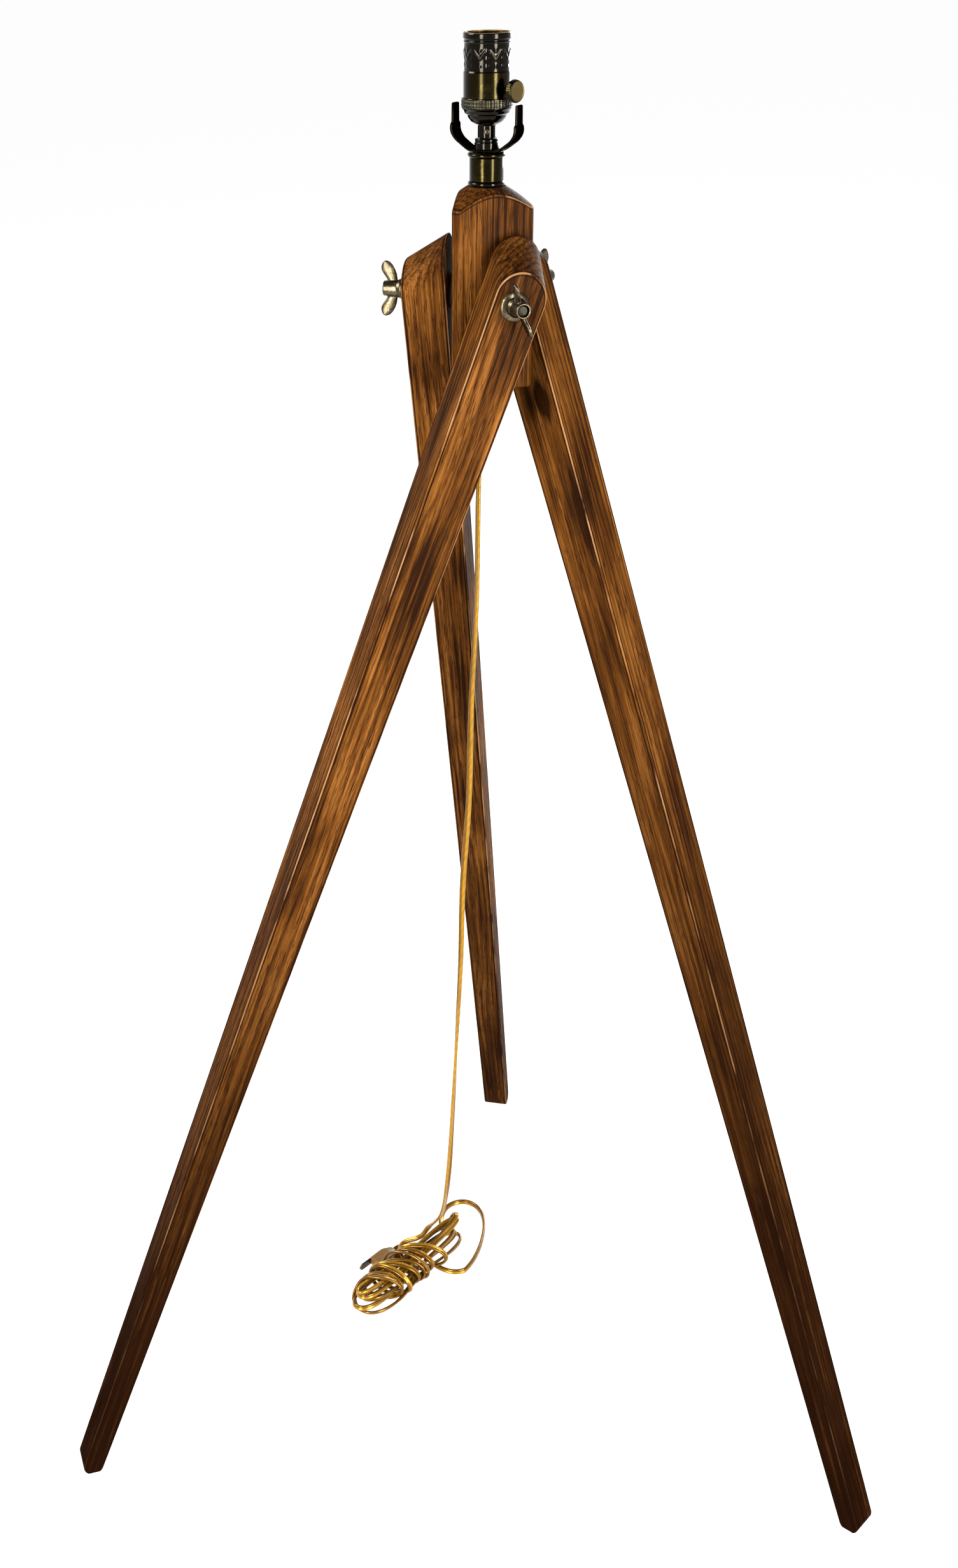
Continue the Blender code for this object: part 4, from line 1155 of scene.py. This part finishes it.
def make_cap():
    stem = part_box("socket_cap")[0].z
    outside = [(6.6 * MM, stem)]
    outside += [(radius * MM, CAP_SHOULDER + rise * MM) for radius, rise in
                ((6.6, -0.4), (9.2, 0.6), (11.6, 2.2), (13.4, 4.6), (14.4, 7.2), (15.9, 7.9),
                 (16.6, 9.8), (17.4, 10.8), (18.2, 11.8))]
    outside += [(CAP_RADIUS, CAP_RIM - 0.5 * MM), (CAP_RADIUS - 0.2 * MM, CAP_RIM)]
    inside = [(radius - SHELL_SHEET, height) for radius, height in outside[3:]]
    inside[0] = (11.6 * MM - SHELL_SHEET, CAP_SHOULDER + 3.2 * MM)
    outline = [(5.3 * MM, stem)] + outside + inside[::-1] + [(5.3 * MM, CAP_SHOULDER + MM)]
    cap = turning("socket_cap_spun", "socket_cap", outline, "dark_brass", 0.5 * MM, 264, band_relief,
                  0.42 * MM)
    drill(cap, 2.0 * MM, 4 * MM, 9.5 * MM, SET_SCREW_AXIS)
    paint(cap, ["band_brass"], lambda out, z: int(
        out > CAP_RADIUS - 0.5 * MM and CAP_RIM - 6.4 * MM < z < CAP_RIM - 0.8 * MM))


def make_shell():
    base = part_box("socket_shell")[0].z
    outline = [(SHELL_RADIUS - SHELL_SHEET, base), (SHELL_RADIUS, base)]
    outline += [(SHELL_RADIUS + out * MM, SHELL_TOP - down * MM) for out, down in
                ((0, 27), (-0.5, 26), (-0.5, 7), (0.15, 6.2), (-0.5, 5.4), (-0.3, 4.6), (0.35, 4.0),
                 (0.35, 1), (-0.1, 0), (-1.9, 0), (-1.5, 2), (-1.2, 3), (-1.2, 26), (-0.7, 27))]
    shell = turning("socket_shell_spun", "socket_shell", outline, "dark_brass", 0.35 * MM, 288,
                    shell_relief, 0.55 * MM)
    drill(shell, 2.4 * MM, 12 * MM, 20 * MM, KNOB_AXIS)
    paint(shell, ["glow_brass", "rim_brass"], lambda out, z: (
        1 if z < SHELL_TOP - 27 * MM else 2 if z > SHELL_TOP - 0.7 * MM and out < SHELL_RADIUS else 0))


def make_socket():
    make_cap()
    make_set_screw()
    make_shell()
    turning("card_sleeve", "insulating_sleeve",
            standing("insulating_sleeve", (14.9, 0), (15.45, 0), (15.45, None), (14.9, None)), "card",
            0.1 * MM)
    block = turning("switch_block", "socket_body",
                    standing("socket_body", (0, 0), (11.4, 0), (11.4, 8), (14.6, 9), (14.6, None),
                             (0, None)), "phenolic", steps=64)
    drill(block, 2.4 * MM, 7 * MM, 20 * MM, KNOB_AXIS)
    make_screw_shell()
    make_knob()


def make_set_screw():
    """Slotted screw in the socket's stem."""
    outline = rounded(mm((0, 5.3), (1.7, 5.3), (1.7, 8.0), (0, 8.2)), 0.25 * MM)
    screw = piece("slotted_set_screw", turned(outline, 32), "wing_brass", "set_screw",
                  matrix=SET_SCREW_AXIS)
    slot = swept([mm(*[(x, y, z) for x, y in ((-3, -0.25), (3, -0.25), (3, 0.25), (-3, 0.25))])
                  for z in (7.5, 9.0)])
    cut(screw, *slot, SET_SCREW_AXIS @ Matrix.Rotation(radians(35), 4, "Z"))


def make_screw_shell():
    """Bright cup with the rolled thread that takes the bulb."""
    low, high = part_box("screw_shell")
    bore, wall, pitch, depth = 13.1 * MM, 0.5 * MM, 3.6 * MM, 0.7 * MM
    bottom, count = low.z + 1.4 * MM, 60
    heights = [bottom + (high.z - bottom) * k / count for k in range(count + 1)]
    outline = ([(6 * MM, low.z), (bore + wall, low.z)] + [(bore + wall, z) for z in heights]
               + [(bore, z) for z in heights[::-1]] + [(bore, low.z + wall), (6 * MM, low.z + wall)])

    def relief(angle, radius, height):
        rise = height - low.z - 1.3 * MM
        if radius < bore - 0.1 * MM or rise < 0:
            return 0.0
        fade = min(1.0, rise / (2 * MM), (high.z - height) / (1.5 * MM))
        return depth / 2 * fade * cos(2 * pi * height / pitch - angle)

    piece("threaded_screw_shell", turned(outline, 72, relief), "bright_brass", "screw_shell")


def make_knob():
    """Turn knob with a milled edge, a stepped back and a slightly dished face."""
    outline = rounded(mm((0, 23.5), (3.6, 23.5), (4.0, 23.9), (7.0, 24.2), (7.9, 24.8), (8.0, 25.4),
                         (8.0, 28.0), (7.5, 28.8), (6.9, 29.0), (6.3, 28.75), (0, 28.6)), 0.25 * MM)

    def milled(angle, radius, height):
        if radius < 7.95 * MM or not 25.2 * MM < height < 28.2 * MM:
            return 0.0
        return -0.16 * MM * (0.5 + 0.5 * cos(36 * angle))

    knob = piece("milled_knob", turned(fine_outline(outline, 0.6 * MM), 216, milled), "knob_brass",
                 "switch_knob", "switch_key", KNOB_AXIS)
    paint(knob, ["glow_brass"], lambda out, z: int(out > 6.8 * MM or z < 26 * MM), KNOB_AXIS)


# ---- under the hub

def make_underside():
    """Lock washer, lock nut and the bushing that the cord leaves through."""
    turning("lock_washer_disc", "lock_washer",
            standing("lock_washer", (5.3, 0), (11, 0), (11, None), (5.3, None)), "steel", steps=64)
    levels = [[(radius * cos(angle), radius * sin(angle), height) for angle in around(6)]
              for radius, height in standing("lock_nut", (7.6, 0), (8.2, 0.5), (8.2, -0.5), (7.6, None))]
    nut = piece("hexagon_lock_nut", swept(levels), "steel", "lock_nut")
    drill(nut, 5.25 * MM, levels[0][0][2] - 5 * MM, levels[-1][0][2] + 5 * MM, Matrix.Identity(4))
    top = pipe_low.z - 0.3 * MM
    turning("bushing", "cord_bushing",
            standing("cord_bushing", (2.8, 0), (7.0, 0), (7.6, 0.8), (7.6, None), (5.25, None))
            + [(5.25 * MM, top), (2.8 * MM, top)], "phenolic", steps=64)


def dress_hidden_nodes():
    """Nodes whose CAD shape stays take a finished material."""
    kept = {"lamp_pipe": "steel", "inner_wire": "gold_vinyl", "centre_contact": "bright_brass",
            "terminal_live": "bright_brass", "terminal_neutral": "bright_brass",
            "switch_spindle": "glow_brass"}
    for name, finish in kept.items():
        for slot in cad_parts[name].material_slots:
            slot.material = FINISHES[finish]


# ---- studio

PANELS = {                  # azimuth, distance, height, size and power
    "left_panel": (radians(-109), 2.5, 1.25, (0.56, 2.3), 140),
    "right_panel": (radians(-38), 2.5, 1.25, (0.52, 2.3), 170),
    "side_panel": (radians(-170), 2.6, 2.4, (1.3, 1.3), 135),
    "back_panel": (radians(75), 3.0, 1.6, (1.8, 1.8), 110),
}
FLOOR_REACH = 40


def make_floor():
    made, _, shader = new_material("studio_floor")
    connect(shader, {"Base Color": (0.30, 0.30, 0.298), "Roughness": 0.85, "Specular IOR Level": 0.1,
                     "Emission Color": (1.0, 1.0, 1.0), "Emission Strength": 0.84})
    corners = [(x * FLOOR_REACH, y * FLOOR_REACH, 0) for x, y in ((-1, -1), (1, -1), (1, 1), (-1, 1))]
    mesh = new_mesh("floor", corners, [(0, 1, 2, 3)])
    mesh.materials.append(made)
    linked("floor", mesh)


def softbox(name, azimuth, distance, height, size, power):
    """A panel light that faces the hub's axis and can't be seen."""
    data = bpy.data.lights.new(name, "AREA")
    data.shape = "RECTANGLE"
    data.size, data.size_y = size
    data.energy = power
    lamp = linked(name, data)
    place = AXIS + Vector((distance * cos(azimuth), distance * sin(azimuth), height))
    lamp.location = place
    lamp.rotation_euler = (AXIS + Vector((0, 0, height)) - place).to_track_quat("-Z", "Y").to_euler()
    lamp.visible_camera = False


def make_studio():
    """White floor, four panels, and a sky that is white at the horizon and dims overhead."""
    make_floor()
    for name, values in PANELS.items():
        softbox(name, *values)
    world = bpy.data.worlds.new("studio")
    world.use_nodes = True
    height = node("ShaderNodeSeparateXYZ", {0: coordinates(world.node_tree, "Generated")}, 2)
    connect(world.node_tree.nodes["Background"],
            {"Color": (1.0, 1.0, 1.0), "Strength": spread(height, 0.12, 0.34, 1.02, 0.38, smooth=True)})
    bpy.context.scene.world = world
    bpy.context.scene.view_settings.view_transform = "Standard"


# ---- whole scene

make_camera()
make_finishes()
cord, cord_path = make_cord()
plug_pieces = make_plug()
make_wood()
make_pivots()
make_neck()
make_saddle()
make_socket()
make_underside()
dress_hidden_nodes()
make_studio()
